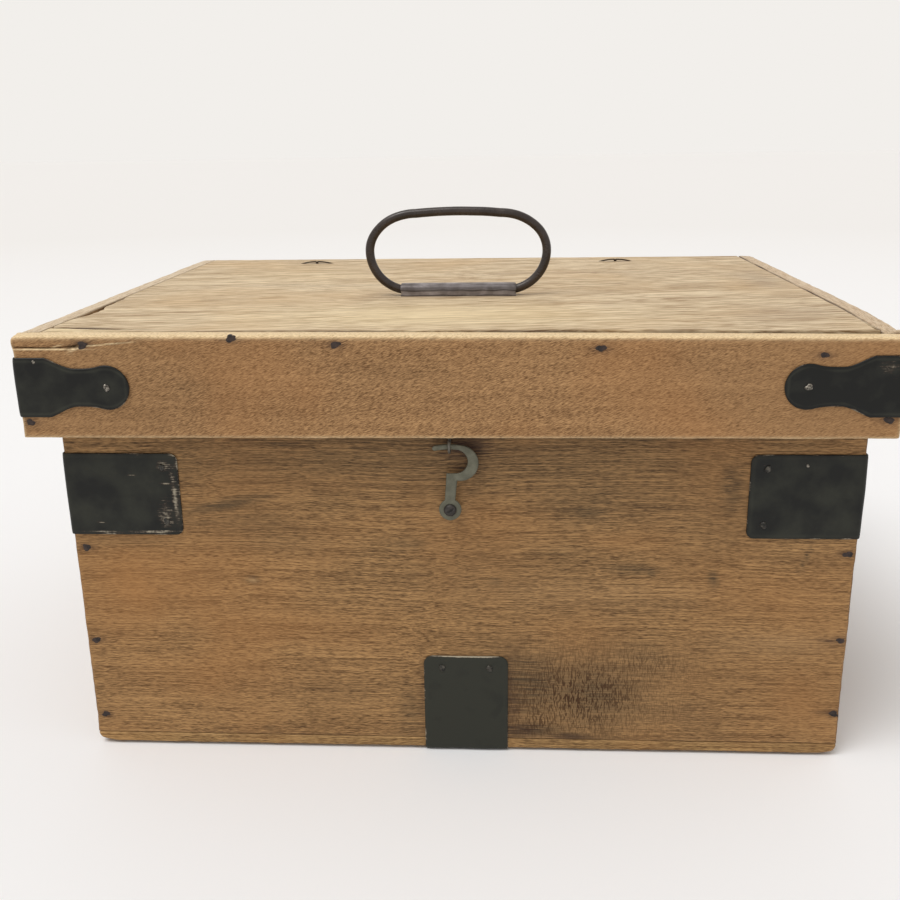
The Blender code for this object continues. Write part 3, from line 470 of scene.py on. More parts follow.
# A face is (axis, side), side 0 low and 1 high; an arris is two faces; lengths are mm.
# face: the one that shows, where all spots and splits lie; arris: edge radius
# band, cell, cuts: the grid's edge strip, its cells and extra cuts; most: largest arris radius
# split: share of the box on each axis up to which points turn to its low side
# worn: arris and added radius; chips: place, size, added radius; tight: faces close on the next board
# bites: face, axis along, place, length, depth, reach in; tapers: face, axis along, drop, power, reach in
# splits: start, end, height, rise, width, depth; bleached: face, strength
# joints: arris, strength and width of the dark line (joint dirt; painted edge shade on the case front);
# rubbed: pale wear on every arris
# spots: stains grey (stains; painted shade just under the lid's edge), inks blue black, warms redder, calms
# plainer, figures ripple, fresh pale, grime dark, clean no dark joint line, dents hollow (strength in mm)
caseWall = {"wood": "case", "arris": 1.0, "band": 2.2, "cell": 2.0, "rubbed": 0.25, "tight": [(2, 0)]}
caseEnd = {**caseWall, "wood": "caseSide", "arris": 0.8, "band": 2.0, "rubbed": 0.2}
lidEnd = {"wood": "skirtSide", "arris": 0.8, "band": 2.8, "cell": 1.8, "rubbed": 0.6}
boards = {
    "case_front_board": {
        **caseWall, "seed": 11, "cell": 1.6, "face": (1, 0), "worn": [(0, 0, 1, 0, 0.5), (0, 1, 1, 0, 0.5)],
        # painted shade: dark lines along both upright arrises, where the rounded edge turns away from the
        # light
        "joints": [(0, 0, 1, 0, 0.5, 0.6), (0, 1, 1, 0, 0.5, 0.6)],
        "dents": [(-93.7, 87.4, 2.4, 1.2, 0, 0.35), (156.3, 100, 0.8, 7, -22, 0.15)],
        "fresh": [(-93.7, 87.3, 2.0, 0.6, 0, 1.0), (-1.5, 124.3, 6.4, 6.4, 0, 0.42), (150, 58, 30, 5, 0, 0.3),
                  (60, 82, 50, 7, 0, 0.2)],
        "figures": [(58, 30, 34, 22, 0, 1.0), (86, 47, 24, 9, -8, 0.6), (40, 16, 16, 10, 0, 0.8),
                    (98, 24, 12, 8, 0, 0.4)],
        "warms": [(-155, 78, 30, 24, 0, 0.45), (-120, 40, 50, 14, 0, 0.25), (150, 80, 22, 20, 0, 0.25),
                  (150, 30, 30, 20, 0, 0.2), (-70, 62, 40, 10, 0, 0.25), (75, 108, 20, 5, 0, 0.25),
                  (-60, 135, 40, 6, 0, 0.2)],
        "inks": [(5, 152, 11, 6, 0, 0.9), (9, 146, 5, 6, 0, 0.6), (3, 141.5, 4, 3, 0, 0.6),
                 (30, 11, 12, 5, 0, 0.6), (27, 22, 4, 10, 0, 0.5), (52, 7.5, 12, 1.6, 0, 0.8),
                 (110, 20, 16, 8, 0, 0.18), (25.4, 27, 1.8, 20, 0, 0.5), (-16.3, 27, 1.4, 20, 0, 0.4),
                 (4.5, 51, 17, 1.0, 0, 0.4), (-93.7, 88.4, 2.6, 0.5, 8, 0.7),
                 (-93.7, 86.2, 2.8, 0.5, -4, 0.7), (169.9, 60.3, 5, 0.8, 0, 0.9),
                 (170.8, 22.6, 5, 0.8, 0, 0.9)],
        "stains": [
            (-103, 124.5, 24, 3.2, 11, 0.75), (-112, 116, 14, 2.6, 3, 0.4), (-121, 118, 5, 8, 0, 0.35),
            (60, 121.7, 12, 4.0, 0, 0.6), (117, 128, 20, 20, 0, 0.32), (18, 140, 8, 4, 0, 0.5),
            (9, 131, 6, 1.4, 6, 0.55), (45, 103, 22, 3.5, 4, 0.35), (80, 94.5, 15, 3, -3, 0.5),
            (88.6, 92.7, 2.2, 1.8, 0, 0.8), (116.3, 90, 2.6, 5, 10, 0.65), (18.5, 87.6, 4, 2.4, 0, 0.6),
            (-93.7, 87.4, 3.4, 1.6, 0, 0.7), (34, 34, 26, 20, 0, 0.7), (62, 31, 28, 20, 0, 0.66),
            (34, 47, 14, 4, 0, 0.6), (34, 11, 22, 5, 0, 0.75), (52, 8, 12, 2, 0, 0.7),
            # the wide bands along the top, at heights 157 and 146, are partly dirt near the opening and
            # partly painted shade of the lid's overhang
            (-22, 20, 7, 16, 0, 0.4), (0, 157, 190, 9, 0, 0.44), (0, 146, 190, 22, 0, 0.42),
            (130, 40, 70, 50, 0, 0.1), (120, 128, 60, 30, 0, 0.32), (72, 128, 55, 18, 0, 0.38),
            (2, 154, 16, 7, 0, 0.55), (8, 151, 9, 6, 0, 0.8), (6, 142, 5, 3, 0, 0.8),
            # the thin lines at heights 153.5 to 156 (the next four spots) are a painted shadow line just
            # under the lid's lower edge
            (-70, 153.5, 18, 1.2, 5, 0.7), (-30, 155, 60, 3, 0, 0.5), (90, 156, 90, 2.5, 0, 0.6),
            (-120, 156, 60, 2.0, 0, 0.4), (-85, 145.5, 34, 3, 4, 0.3), (-21, 105.4, 10, 4, 5, 0.4),
            (87, 49, 22, 9, -10, 0.3), (-90, 10, 3, 2, 0, 0.3), (20, 100, 60, 26, 0, 0.2),
            (60, 75, 50, 10, 0, 0.16), (-60, 30, 50, 10, 0, 0.14), (156.3, 100, 0.9, 8, -22, 0.6),
            (122.7, 108, 0.8, 4, -35, 0.4),
            (122, 133, 8, 17, 0, 0.6), (-150, 106.5, 26, 3.6, 0, 0.36), (-95, 116, 30, 9, 0, 0.36),
            (-82, 107, 30, 6, 0, 0.3)]},
    "case_back_board": {
        **caseWall, "seed": 21, "face": (1, 1),
        "stains": [(-60, 60, 50, 16, 3, 0.3), (90, 100, 40, 9, -4, 0.35), (20, 20, 70, 8, 0, 0.3),
                   (0, 180, 160, 5, 0, 0.3)]},
    "case_left_board": {
        **caseEnd, "seed": 31, "face": (0, 0),
        "stains": [(-60, 90, 30, 6, 5, 0.4), (40, 60, 40, 9, 0, 0.3), (0, 20, 70, 7, 0, 0.35),
                   # the band at height 155 darkens the board just under the lid's lower edge
                   (0, 155, 110, 4, 0, 0.4)]},
    "case_right_board": {
        **caseEnd, "seed": 41, "face": (0, 1),
        "stains": [(30, 95, 34, 7, -4, 0.35), (-50, 50, 30, 8, 3, 0.35), (0, 22, 80, 8, 0, 0.3),
                   # the band at height 155 darkens the board just under the lid's lower edge
                   (0, 155, 110, 4, 0, 0.4)]},
    "case_bottom_board": {
        "wood": "bottom", "seed": 51, "arris": 0.8, "band": 2.3, "cell": 3.0, "face": (2, 0), "rubbed": 0.2,
        "worn": [(0, 0, 2, 0, 3.4), (0, 1, 2, 0, 3.4)], "most": 4.4, "split": (0.5, 0.5, 0.92),
        "tight": [(2, 1)], "cuts": {0: [-173.6, -172.4, 172.4, 173.6]},
        "stains": [(-70, 30, 60, 30, 10, 0.35), (80, -40, 50, 26, 0, 0.4)]},
    "lid_front_board": {
        "wood": "skirt", "seed": 61, "arris": 0.9, "band": 2.8, "cell": 1.5, "face": (1, 0), "rubbed": 0.55,
        "worn": [(1, 0, 2, 1, 0.5), (0, 0, 2, 1, 0.9), (0, 1, 2, 1, 1.2)], "tight": [(1, 1)],
        "bleached": [(2, 1, 1.0)], "bites": [(0, 0, 2, 201, 4.5, -0.8, 30)],
        "tapers": [(2, 1, 0, 2.2, 1.7, 14)],
        "chips": [(-120, -142.7, 203.7, 3, 0.8), (-10, -142.7, 203.7, 5, 0.7), (95, -142.7, 203.7, 4, 0.8)],
        "cuts": {2: np.arange(196.6, 202.0, 0.18)}, "joints": [(1, 1, 2, 1, 0.7, 0.6)],
        "splits": [(-189.5, -158, 198.4, 0.2, 0.22, 1.0), (-162, -156, 198.6, 0.9, 0.7, 1.2),
                   (-154, -136, 199.2, 1.4, 0.2, 0.6)],
        "clean": [(-168, 203.7, 26, 12, 0, 0.85)],
        "calms": [(165, 178, 60, 60, 0, 0.5), (-165, 178, 45, 60, 0, 0.35)],
        "fresh": [(-174, 197.75, 15, 0.3, 0, 1.4), (-146, 199.9, 9, 0.28, 5, 1.4),
                  (-160, 197.9, 2.6, 0.5, 24, 1.2), (-168, 198.9, 3, 0.2, 20, 1.0),
                  (0, 204, 600, 1.7, 0, 0.75)],
        "dents": [(-157, 199.3, 3.4, 1.3, 12, 0.7), (-92.5, 202.2, 1.5, 1.2, 0, 0.6)],
        "stains": [(-157, 199.6, 3.6, 1.6, 12, 0.9), (-174, 198.5, 14, 0.3, 0, 1.0),
                   (-161, 198.9, 3, 0.8, 10, 1.0), (-125, 180, 40, 30, 0, 0.12), (-110, 181, 16, 5, 0, 0.25),
                   (-20, 186, 30, 6, 0, 0.15), (-92.5, 202.2, 1.6, 1.6, 0, 0.9)]},
    "lid_left_board": {
        **lidEnd, "seed": 71, "face": (0, 0), "worn": [(0, 0, 2, 1, 1.0), (0, 0, 1, 1, 1.8)],
        "tight": [(0, 1)], "bleached": [(2, 1, 1.0)],
        "joints": [(0, 1, 2, 1, 0.12, 0.7), (1, 0, 2, 1, 0.5, 0.8)],
        "chips": [(-178.4, -86, 203.7, 8, 1.0)], "stains": [(40, 180, 40, 6, 4, 0.25)]},
    "lid_right_board": {
        **lidEnd, "seed": 81, "face": (0, 1), "worn": [(0, 1, 2, 1, 1.0), (0, 1, 1, 1, 1.8)],
        "bleached": [(2, 1, 0.75)], "joints": [(0, 0, 2, 1, 0.8, 0.6), (1, 0, 2, 1, 0.4, 0.8)],
        "bites": [(2, 1, 1, -143, 36, 2.0, 12)], "stains": [(-20, 178, 40, 6, -3, 0.25)]},
    "lid_panel": {
        "wood": "panel", "seed": 91, "arris": 0.7, "band": 2.2, "cell": 2.0, "face": (2, 1), "rubbed": 0.15,
        "worn": [(1, 1, 2, 1, 1.0)], "tight": [(0, 0)], "cuts": {1: np.arange(-133, -117, 0.5)},
        "joints": [(1, 0, 2, 1, 0.5, 0.45), (0, 0, 2, 1, 0.1, 0.7), (0, 1, 2, 1, 0.8, 0.6)],
        "bites": [(0, 0, 1, -86, 10, 3.6, 9), (0, 0, 1, -68, 14, 2.6, 8), (0, 0, 1, -46, 12, 1.8, 7)],
        "splits": [(-183, -138, -121.5, -7, 1.2, 0.9)], "dents": [(178, -134, 60, 30, 0, 1.2)],
        "clean": [(-170, -133.5, 26, 2.5, 0, 0.9)],
        "fresh": [(-10, -95, 80, 30, 0, 0.6), (-100, 60, 60, 40, 0, 0.15), (-166, -129, 22, 4, -6, 0.8)],
        "grime": [(-162, -124.2, 22, 1.5, -8, 1.0), (-95, -133, 50, 1.0, 0, 0.6),
                  (-102.7, 119.4, 4.5, 1.2, 0, 0.9), (93.8, 119.4, 4.5, 1.2, 0, 0.9),
                  (-97, 16, 5, 1.5, 0, 0.35), (-124, -42, 9, 1.4, 3, 0.3), (-60, 84, 8, 1.5, 0, 0.3)],
        "stains": [(150, -95, 26, 22, 20, 0.3), (165, 20, 12, 60, 0, 0.25), (-2.5, -37, 30, 2.2, 0, 0.5),
                   (-102.7, 119.3, 9, 1.6, 0, 0.85), (93.8, 119.3, 9, 1.6, 0, 0.85), (60, 60, 60, 4, 3, 0.2),
                   (-90, 10, 70, 3, -2, 0.18)]},
}
for node, board in boards.items():
    makeBoard(node, board)
print("boards made")


# Sheet iron, folded round the corners

def sheetSurface(path, facing, across, half, thick, roll):
    # a thin strip carried along a path on its inner face: the ring at each station runs over the outer face,
    # round a half-round rim, back along the inner face and round the other rim; the outer face rolls down
    # towards its rims
    faceRows, rimRows, rollWidth = 57, 7, 1.6 * mm
    share = np.sin(np.linspace(-square, square, faceRows))
    turn = np.linspace(0, np.pi, rimRows)[1:-1]
    rim = np.minimum(thick / 2, half)[:, None]
    flat, bulge = half[:, None] - rim, rim * np.sin(turn)
    over = np.concatenate([flat * share, flat + bulge, -flat * share, -flat - bulge], 1)
    level = np.concatenate([np.ones(faceRows), 0.5 + 0.5 * np.cos(turn), np.zeros(faceRows),
                            0.5 - 0.5 * np.cos(turn)])
    run = runAlong(path)
    edge = np.minimum(np.maximum(half[:, None] - np.abs(over), 0), np.minimum(run, run[-1] - run)[:, None])
    out = thick[:, None] * level * (1 - roll * np.exp(-edge / rollWidth))
    points = path[:, None] + over[..., None] * across[:, None] + out[..., None] * facing[:, None]
    return points.reshape(-1, 3), gridFaces(len(path), over.shape[1]), edge.ravel(), np.tile(level, len(path))


def foldPath(first, second, radius, gap):
    # inner face of a sheet bent once round an arris at the origin: in along a, a quarter turn, out along b;
    # stations crowd towards the ends and the bend
    legRows, bendRows = 60, 7
    crowd = 0.5 - 0.5 * np.cos(np.linspace(0, np.pi, legRows))
    angle = 3 * square - square * np.linspace(0, 1, bendRows + 2)[1:-1]
    leg, rise = first - (first - radius) * crowd, radius + (second - radius) * crowd
    none, ones = np.zeros(legRows), np.ones(legRows)
    a = np.concatenate([leg, radius + (radius + gap) * np.cos(angle), -gap * ones])
    b = np.concatenate([-gap * ones, radius + (radius + gap) * np.sin(angle), rise])
    out = (np.concatenate([none, np.cos(angle), -ones]), np.concatenate([-ones, np.sin(angle), none]))
    toEnd = np.concatenate([first - leg, np.full(bendRows, first), second - rise])  # from the leg's own end
    return a * mm, b * mm, out, toEnd


def roundedHalf(toEnd, half, corner):  # half width near an end with rounded corners
    return half - corner + np.sqrt(corner ** 2 - np.clip(corner - toEnd, 0, corner) ** 2)


def bottleHalf(toEnd, strap):  # half width of the lid strap: round end, drawn-in neck, square shoulder
    bulbRows, curveRows = 60, 30
    angle = np.radians(np.linspace(0, strap["bulbTurn"], bulbRows))
    t = np.linspace(0, 1, curveRows)[1:]
    bulbAt, bulb = strap["bulb"] * (1 - np.cos(angle)), strap["bulb"] * np.sin(angle)
    neckRun, shoulderRun = strap["neckAt"] - bulbAt[-1], strap["shoulderAt"] - strap["neckAt"]
    neck = cubic(t, bulb[-1], 1 / np.tan(angle[-1]), strap["neck"] / 2, 0, neckRun)
    shoulder = cubic(t, strap["neck"] / 2, 0, strap["height"] / 2, strap["shoulderSlope"], shoulderRun)
    at = np.concatenate([bulbAt, bulbAt[-1] + neckRun * t, strap["neckAt"] + shoulderRun * t])
    return np.interp(toEnd, at, np.concatenate([bulb, neck, shoulder]))


def endThick(toEnd, gauge):  # the sheet's end is rounded: its thickness closes over the last half gauge
    return gauge * np.sqrt(1 - np.clip(1 - toEnd / (gauge / 2), 0, 1) ** 2)


def tacksOf(node, count):
    return [f"{node}_tack_{n + 1}" for n in range(count)]


def headsOf(nodes):  # where each tack's head stands and which way it points, from its CAD solid
    boxes = np.array([[list(corner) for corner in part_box(node)] for node in nodes])
    pick, axis = np.arange(len(nodes)), (boxes[:, 1] - boxes[:, 0]).argmax(1)
    places, outs = boxes.mean(1), np.zeros((len(nodes), 3))
    side = np.sign(places[pick, axis])
    outs[pick, axis] = side
    places[pick, axis] = np.where(side > 0, boxes[pick, 1, axis], boxes[pick, 0, axis])
    return places, outs


# wave and dimple are size and height or depth, rimHighlightLine is place and width of a painted highlight
# line inside the rim, all in mm
everyIron = {"gap": 0.1, "fold": 1.0, "wave": (22, 0.1), "dimple": (3.4, 0.45), "rimWear": 0.8,
             "rimHighlightLine": (1.5, 0.6)}


def makeSheet(node, body, tackCount, iron, corner, a, b, across, half):
    pathA, pathB, out, toEnd = foldPath(*iron["legs"], iron["fold"], iron["gap"])
    path = np.array(corner) * mm + pathA[:, None] * a + pathB[:, None] * b
    facing = out[0][:, None] * a + out[1][:, None] * b
    thick = endThick(toEnd, iron["gauge"]) if iron["squareEnd"] else np.full(len(path), iron["gauge"])
    points, quads, edge, level = sheetSurface(path, facing, np.tile(across, (len(path), 1)), half(toEnd) * mm,
                                              thick * mm, iron["roll"])
    # hammered dimples at the tacks, and a slight wave in the sheet
    waveSize, waveHeight = iron["wave"]
    dimpleSize, dimpleDepth = iron["dimple"]
    heads = headsOf(tacksOf(node, tackCount))[0]
    dimple = np.exp(-((points[:, None] - heads) ** 2).sum(-1) / (dimpleSize * mm) ** 2).sum(1)
    wave = unevenness(points, waveSize, iron["seed"])
    outward = np.repeat(facing, len(level) // len(path), 0)
    points = points + outward * (level * (waveHeight * mm * wave - dimpleDepth * mm * dimple))[:, None]
    patches = 0.7 + 0.6 * unevenness(points, 12, iron["seed"] + 1)
    rubbed = iron["rub"] * np.exp(-edge / (iron["rimWear"] * mm)) * patches + 0.25 * dimple
    # these spots are rubbed wear, and on the base strap's top rim partly a painted highlight
    rubbed += softSpots(points[:, 0], points[:, 2], iron.get("rubs", {}).get(node, []))
    # dust lies in patches; a painted highlight of the rolled rim runs along a line just inside it
    lineAt, lineWidth = iron["rimHighlightLine"]
    dust = iron["dust"] + iron["rimHighlight"] * bell(edge - lineAt * mm, lineWidth)
    dust += softSpots(points[:, 0], points[:, 2], iron.get("dusts", {}).get(node, []))
    makePiece(pieceName(node), body, points, quads, metals["iron"], "black_iron", [node],
              {"bare": np.clip(rubbed, 0, 1), "dust": dust})


cornerPlates = {
    **everyIron, "height": 38.9, "mid": 129.25, "corner": 3.5, "gauge": 0.85, "squareEnd": True, "seed": 101,
    "roll": 0.3, "rub": 0.5, "dust": 0.4, "rimHighlight": 0.25,
    "rubs": {"corner_plate_front_left": [
        (-126.2, 129, 1.6, 17, 2, 0.52), (-131, 121, 5, 8, 0, 0.36), (-129, 143, 6, 3, 0, 0.3),
        (-143, 138.2, 7, 0.35, -6, 0.55), (-131.5, 134.8, 6, 0.4, -6, 0.75), (-131, 125.6, 6, 0.45, 0, 0.6),
        (-161, 116, 2.5, 0.4, 0, 0.75), (-137, 111.4, 16, 0.8, 1, 0.5), (-160, 111.3, 12, 0.7, 0, 0.36)]},
}
plateCorners = (("front_left", caseLeft, caseFront, right, back, 51.7),
                ("front_right", caseRight, caseFront, back, -right, 49.0),
                ("back_right", caseRight, caseBack, -right, -back, 49.0),
                ("back_left", caseLeft, caseBack, -back, right, 49.0))
for corner, x, y, a, b, leg in plateCorners:
    makeSheet("corner_plate_" + corner, "case", 4, {**cornerPlates, "legs": (leg, leg)},
              (x, y, cornerPlates["mid"]), a, b, up,
              lambda toEnd: roundedHalf(toEnd, cornerPlates["height"] / 2, cornerPlates["corner"]))

lidStraps = {
    **everyIron, "legs": (49.3, 49.3), "height": 26.2, "mid": 181.1, "bulb": 9.8, "bulbTurn": 107,
    "neck": 16.8, "neckAt": 23.3, "shoulderAt": 35.8, "shoulderSlope": 0.35, "gauge": 0.95,
    "squareEnd": False, "seed": 111, "roll": 0.45, "rub": 0.4, "dust": -0.15, "rimHighlight": 0.6,
    "rubs": {"lid_strap_right": [(180, 189, 6, 4, 0, 0.36)]},
    "dusts": {"lid_strap_right": [(179, 188.5, 7, 4, 0, 0.9), (168, 183, 3, 3, 0, 0.3)],
              "lid_strap_left": [(-165, 180, 40, 16, 0, 0.45), (-152, 187, 8, 5, 0, 0.5),
                                 (-181, 188, 5, 6, 0, 0.45), (-163, 176, 9, 4, 0, 0.4)]},
}
strapSides = (("left", -lidHalf, right, back), ("right", lidHalf, back, -right))
for side, x, a, b in strapSides:
    makeSheet("lid_strap_" + side, "lid", 2, lidStraps, (x, lidFront, lidStraps["mid"]), a, b, up,
              lambda toEnd: bottleHalf(toEnd, lidStraps))

baseStraps = {
    **everyIron, "legs": (32.0, 48.7), "width": 39.4, "corner": 4.0, "at": 4.5, "gauge": 0.85,
    "squareEnd": True, "seed": 121, "roll": 0.3, "rub": 0.45, "dust": 1.1, "rimHighlight": 0.2,
    # on the base strap's top rim: partly rubbed wear, partly a painted highlight of light catching the
    # upturned rim
    "rubs": {"base_strap_front": [(6, 50.2, 15, 0.7, 0, 0.75)]},
}
baseSides = (("front", caseFront, back), ("back", caseBack, -back))
for side, y, a in baseSides:
    makeSheet("base_strap_" + side, "case", 2, baseStraps, (baseStraps["at"], y, woodLow), a, up, right,
              lambda toEnd: roundedHalf(toEnd, baseStraps["width"] / 2, baseStraps["corner"]))
print("sheet iron made")


# Nails and tacks: half width and half height of a head, dome, how far it is sunk and closed below, in mm

tacks = {"wide": 1.5, "tall": 1.5, "dome": 0.7, "seat": 0.9, "sunk": 0.85, "below": 3, "ragged": 1.0,
         "seed": 131}  # seat: from the CAD head's top down to its seat
pins = {"wide": 0.75, "tall": 0.75, "dome": 0.3, "below": 3, "ragged": 1.0, "seed": 135,
        "case": (153.3, -133.45, 143.8), "lid": (-178.4, -143.65, 192.4)}  # one in a plate and one in a strap
nailHeads = {"wide": 2.2, "tall": 1.65, "dome": 0.2, "sunk": 0.3, "below": 2, "ragged": 1.5, "seed": 141}


def studSurface(places, outs, stud):
    # nail heads: an uneven round outline under a dome, height dome * cos(angle), closed below the surface
    sides, domeRows = 24, 7
    rng = np.random.default_rng(stud["seed"])
    turn = np.linspace(0, 2 * np.pi, sides, endpoint=False)
    shift = rng.uniform(0, 2 * np.pi, (3, len(places), 1))
    outline = 1 + stud["ragged"] * (0.13 * np.sin(2 * turn + shift[0]) + 0.11 * np.sin(3 * turn + shift[1])
                                    + 0.06 * np.sin(5 * turn + shift[2]))
    angle = np.linspace(0, square, domeRows)
    share = np.concatenate([np.sin(angle), [0.98, 0.0]])
    level = np.concatenate([stud["dome"] * np.cos(angle), [-stud["below"], -stud["below"]]]) * mm
    upright = np.where(np.abs(outs[:, 2:]) > 0.9, back, up)
    aside, above = np.cross(upright, outs) * stud["wide"] * mm, upright * stud["tall"] * mm
    rings = outline[:, None] * share[:, None]
    points = (places[:, None, None] + (rings * np.cos(turn))[..., None] * aside[:, None, None]
              + (rings * np.sin(turn))[..., None] * above[:, None, None]
              + level[:, None, None] * outs[:, None, None])
    quads = gridFaces(len(share), sides) + np.arange(len(places))[:, None, None] * len(share) * sides
    return points.reshape(-1, 3), quads.reshape(-1, 4)


for name, body, finish, count, nodes in (
        ("plateTacks", "case", "blackTack", 4, ["corner_plate_" + row[0] for row in plateCorners]),
        ("baseTacks", "case", "blackTack", 2, ["base_strap_" + row[0] for row in baseSides]),
        ("strapTacks", "lid", "tack", 2, ["lid_strap_" + row[0] for row in strapSides])):
    nodes = [tack for node in nodes for tack in tacksOf(node, count)]
    places, outs = headsOf(nodes)
    places -= outs * (tacks["seat"] + tacks["sunk"]) * mm  # down into the dimple
    makePiece(name, body, *studSurface(places, outs, tacks), metals[finish], "tack_iron", nodes)
for body in ("case", "lid"):
    place = np.array([pins[body]]) * mm
    makePiece(body + "Pin", body, *studSurface(place, -back[None], pins), metals["tack"], "tack_iron", [])
for body, nails in woodNails.items():
    places, outs = np.split(np.array(nails, float), 2, axis=1)
    places = places * mm - outs * nailHeads["sunk"] * mm
    makePiece(body + "Nails", body, *studSurface(places, outs, nailHeads), metals["nail"], "tack_iron", [])
print("nails made")


# Wire and small hardware, all sizes in mm

def tubeSurface(path, radius, sides, aside):
    # a circle carried along a path, set out from the direction aside; each end closes in a low dome
    capRows, capHeight = 5, 0.5
    ahead = unit(np.gradient(path, axis=0))
    cap = np.linspace(square, 0, capRows)[:-1]
    radius = np.broadcast_to(radius, len(ahead))
    path = np.concatenate([path[:1] - ahead[:1] * capHeight * radius[0] * np.sin(cap)[:, None], path,
                           path[-1:] + ahead[-1:] * capHeight * radius[-1] * np.sin(cap[::-1])[:, None]])
    size = np.concatenate([radius[0] * np.cos(cap), radius, radius[-1] * np.cos(cap[::-1])])
    ahead = np.concatenate([np.repeat(ahead[:1], len(cap), 0), ahead, np.repeat(ahead[-1:], len(cap), 0)])
    first = unit(aside - (ahead @ aside)[:, None] * ahead)
    turn = np.linspace(0, 2 * np.pi, sides, endpoint=False)
    points = path[:, None] + size[:, None, None] * (np.cos(turn)[:, None] * first[:, None]
                                                    + np.sin(turn)[:, None] * np.cross(ahead, first)[:, None])
    return points.reshape(-1, 3), gridFaces(len(path), sides)


handle = {"axis": (-1.8, -30.75, 206.45), "wire": 4.5, "width": 95.5, "height": 44.5, "sideAt": 20.0,
          "lower": 20.5, "upper": 24.0, "arch": 1.0, "endGap": 1.0, "sides": 28, "seed": 151,
          "waver": (16, 0.0015), "inset": 0.0032}  # waver: size, then share of the place; inset: share


def bailPath():  # low run, two elliptic lower corners, two elliptic upper corners, a slightly arched top
    half, top = (handle["width"] - handle["wire"]) / 2, handle["height"] - handle["wire"] - handle["arch"]
    lower, upper, sideAt = handle["lower"], handle["upper"], handle["sideAt"]
    cornerRows, lowRows, topRows = 28, 12, 20
    turn = np.linspace(0, square, cornerRows)
    low = np.linspace(handle["endGap"] / 2, half - lower, lowRows)[:-1]
    share = np.linspace(1, 0, topRows)[1:]
    x = np.concatenate([low, half - lower * (1 - np.sin(turn)), half - upper * (1 - np.cos(turn[1:])),
                        share * (half - upper)])
    z = np.concatenate([0 * low, sideAt * (1 - np.cos(turn)), sideAt + (top - sideAt) * np.sin(turn[1:]),
                        top + handle["arch"] * (1 - share ** 2)])
    x, z = mirrored(x, z)
    return (np.stack([x, 0 * x, z], 1) + handle["axis"]) * mm


points, quads = tubeSurface(bailPath(), handle["wire"] / 2 * mm, handle["sides"], back)
waver = handle["waver"][1] * unevenness(points, handle["waver"][0], handle["seed"]) - handle["inset"]
points += (points - np.array(handle["axis"]) * mm) * waver[:, None]
makePiece("bail", "handle", points, quads, metals["bail"], "bail_steel", ["handle_bail"])

clip = {"bore": 2.85, "gauge": 0.9, "length": 59.5, "foot": 7.0, "footAt": -13.95, "bend": 1.2, "roll": 0.2,
        "fine": (-3.6, -3.4),  # closer stations above this height
        "ends": 0.25, "dents": (9, 0.12), "drift": (11, 0.25), "seed": 161,
        "lines": ((0.1, 0.35, 0.85), (-2.5, 0.3, 0.9)), "film": 0.62}  # lines: height, width, strength of painted shade lines; the film: strength of painted shade over the fold


def clipSurface():  # a strip up one slot, over the wire in a half circle, down the other, feet bent out below
    bore, bend, footAt = clip["bore"], clip["bend"], clip["footAt"]
    overRows, bendRows, coarseRows, fineRows = 13, 6, 10, 18
    over = np.linspace(np.pi, square, overRows)
    turn = np.linspace(0, square, bendRows)
    legs = np.concatenate([np.linspace(footAt + bend, clip["fine"][0], coarseRows)[1:],
                           np.linspace(clip["fine"][1], 0, fineRows)[:-1]])
    y = np.concatenate([[-bore - clip["foot"]], -bore - bend * (1 - np.sin(turn)), np.full(len(legs), -bore),
                        bore * np.cos(over)])
    z = np.concatenate([[footAt], footAt + bend * (1 - np.cos(turn)), legs, bore * np.sin(over)])
    y, z = mirrored(y, z)
    path = (np.stack([0 * y, y, z], 1) + handle["axis"]) * mm
    facing = unit(np.cross(right, np.gradient(path, axis=0)))
    half = clip["length"] / 2 * mm + clip["ends"] * mm * np.sin(z * 1.3)  # slightly uneven ends
    thick = np.full(len(path), clip["gauge"] * mm)
    thick[[0, -1]] = 0
    return sheetSurface(path, facing, np.tile(right, (len(path), 1)), half, thick, clip["roll"])


points, quads, _, level = clipSurface()
dents = clip["dents"][1] * mm * unevenness(points, clip["dents"][0], clip["seed"])
points[:, 1] += level * dents * np.sign(points[:, 1] - handle["axis"][1] * mm)
# painted shade: a dark line where the fold ends, a painted shadow line where the clip meets the panel, and
# darker shade over the fold that stops just short of its top
height = points[:, 2] / mm - handle["axis"][2]
height += clip["drift"][1] * unevenness(points, clip["drift"][0], clip["seed"] + 1)
grime = clip["film"] * np.clip(height / 1.2, 0, 1) * np.clip((3.5 - height) / 0.5, 0, 1)
for at, width, strength in clip["lines"]:
    grime += strength * np.exp(-((height - at) / width) ** 2)
makePiece("bailClip", "lid", points, quads, metals["clip"], "clip_steel", ["handle_clip"],
          {"grime": np.clip(grime, 0, 1)})

hook = {"pivot": (-1.5, -136.65, 124.1), "gauge": 1.3, "reach": 29.0, "band": 2.5, "tip": 12.5, "right": 12.7,
        "bendWidth": 4.8, "bendDrop": 8.7, "mouth": 10.9, "shank": 4.7, "lean": 0.9, "pad": 5.0, "roll": 0.22}


def circle(centre, radius, angles):
    return np.stack([centre[0] + radius * np.cos(angles), centre[1] + radius * np.sin(angles)], 1)


def spread(points, count):  # points evenly spaced along a line through the given ones
    run = runAlong(points)
    at = np.linspace(0, run[-1], count)
    return np.stack([np.interp(at, run, points[:, k]) for k in range(points.shape[1])], 1)


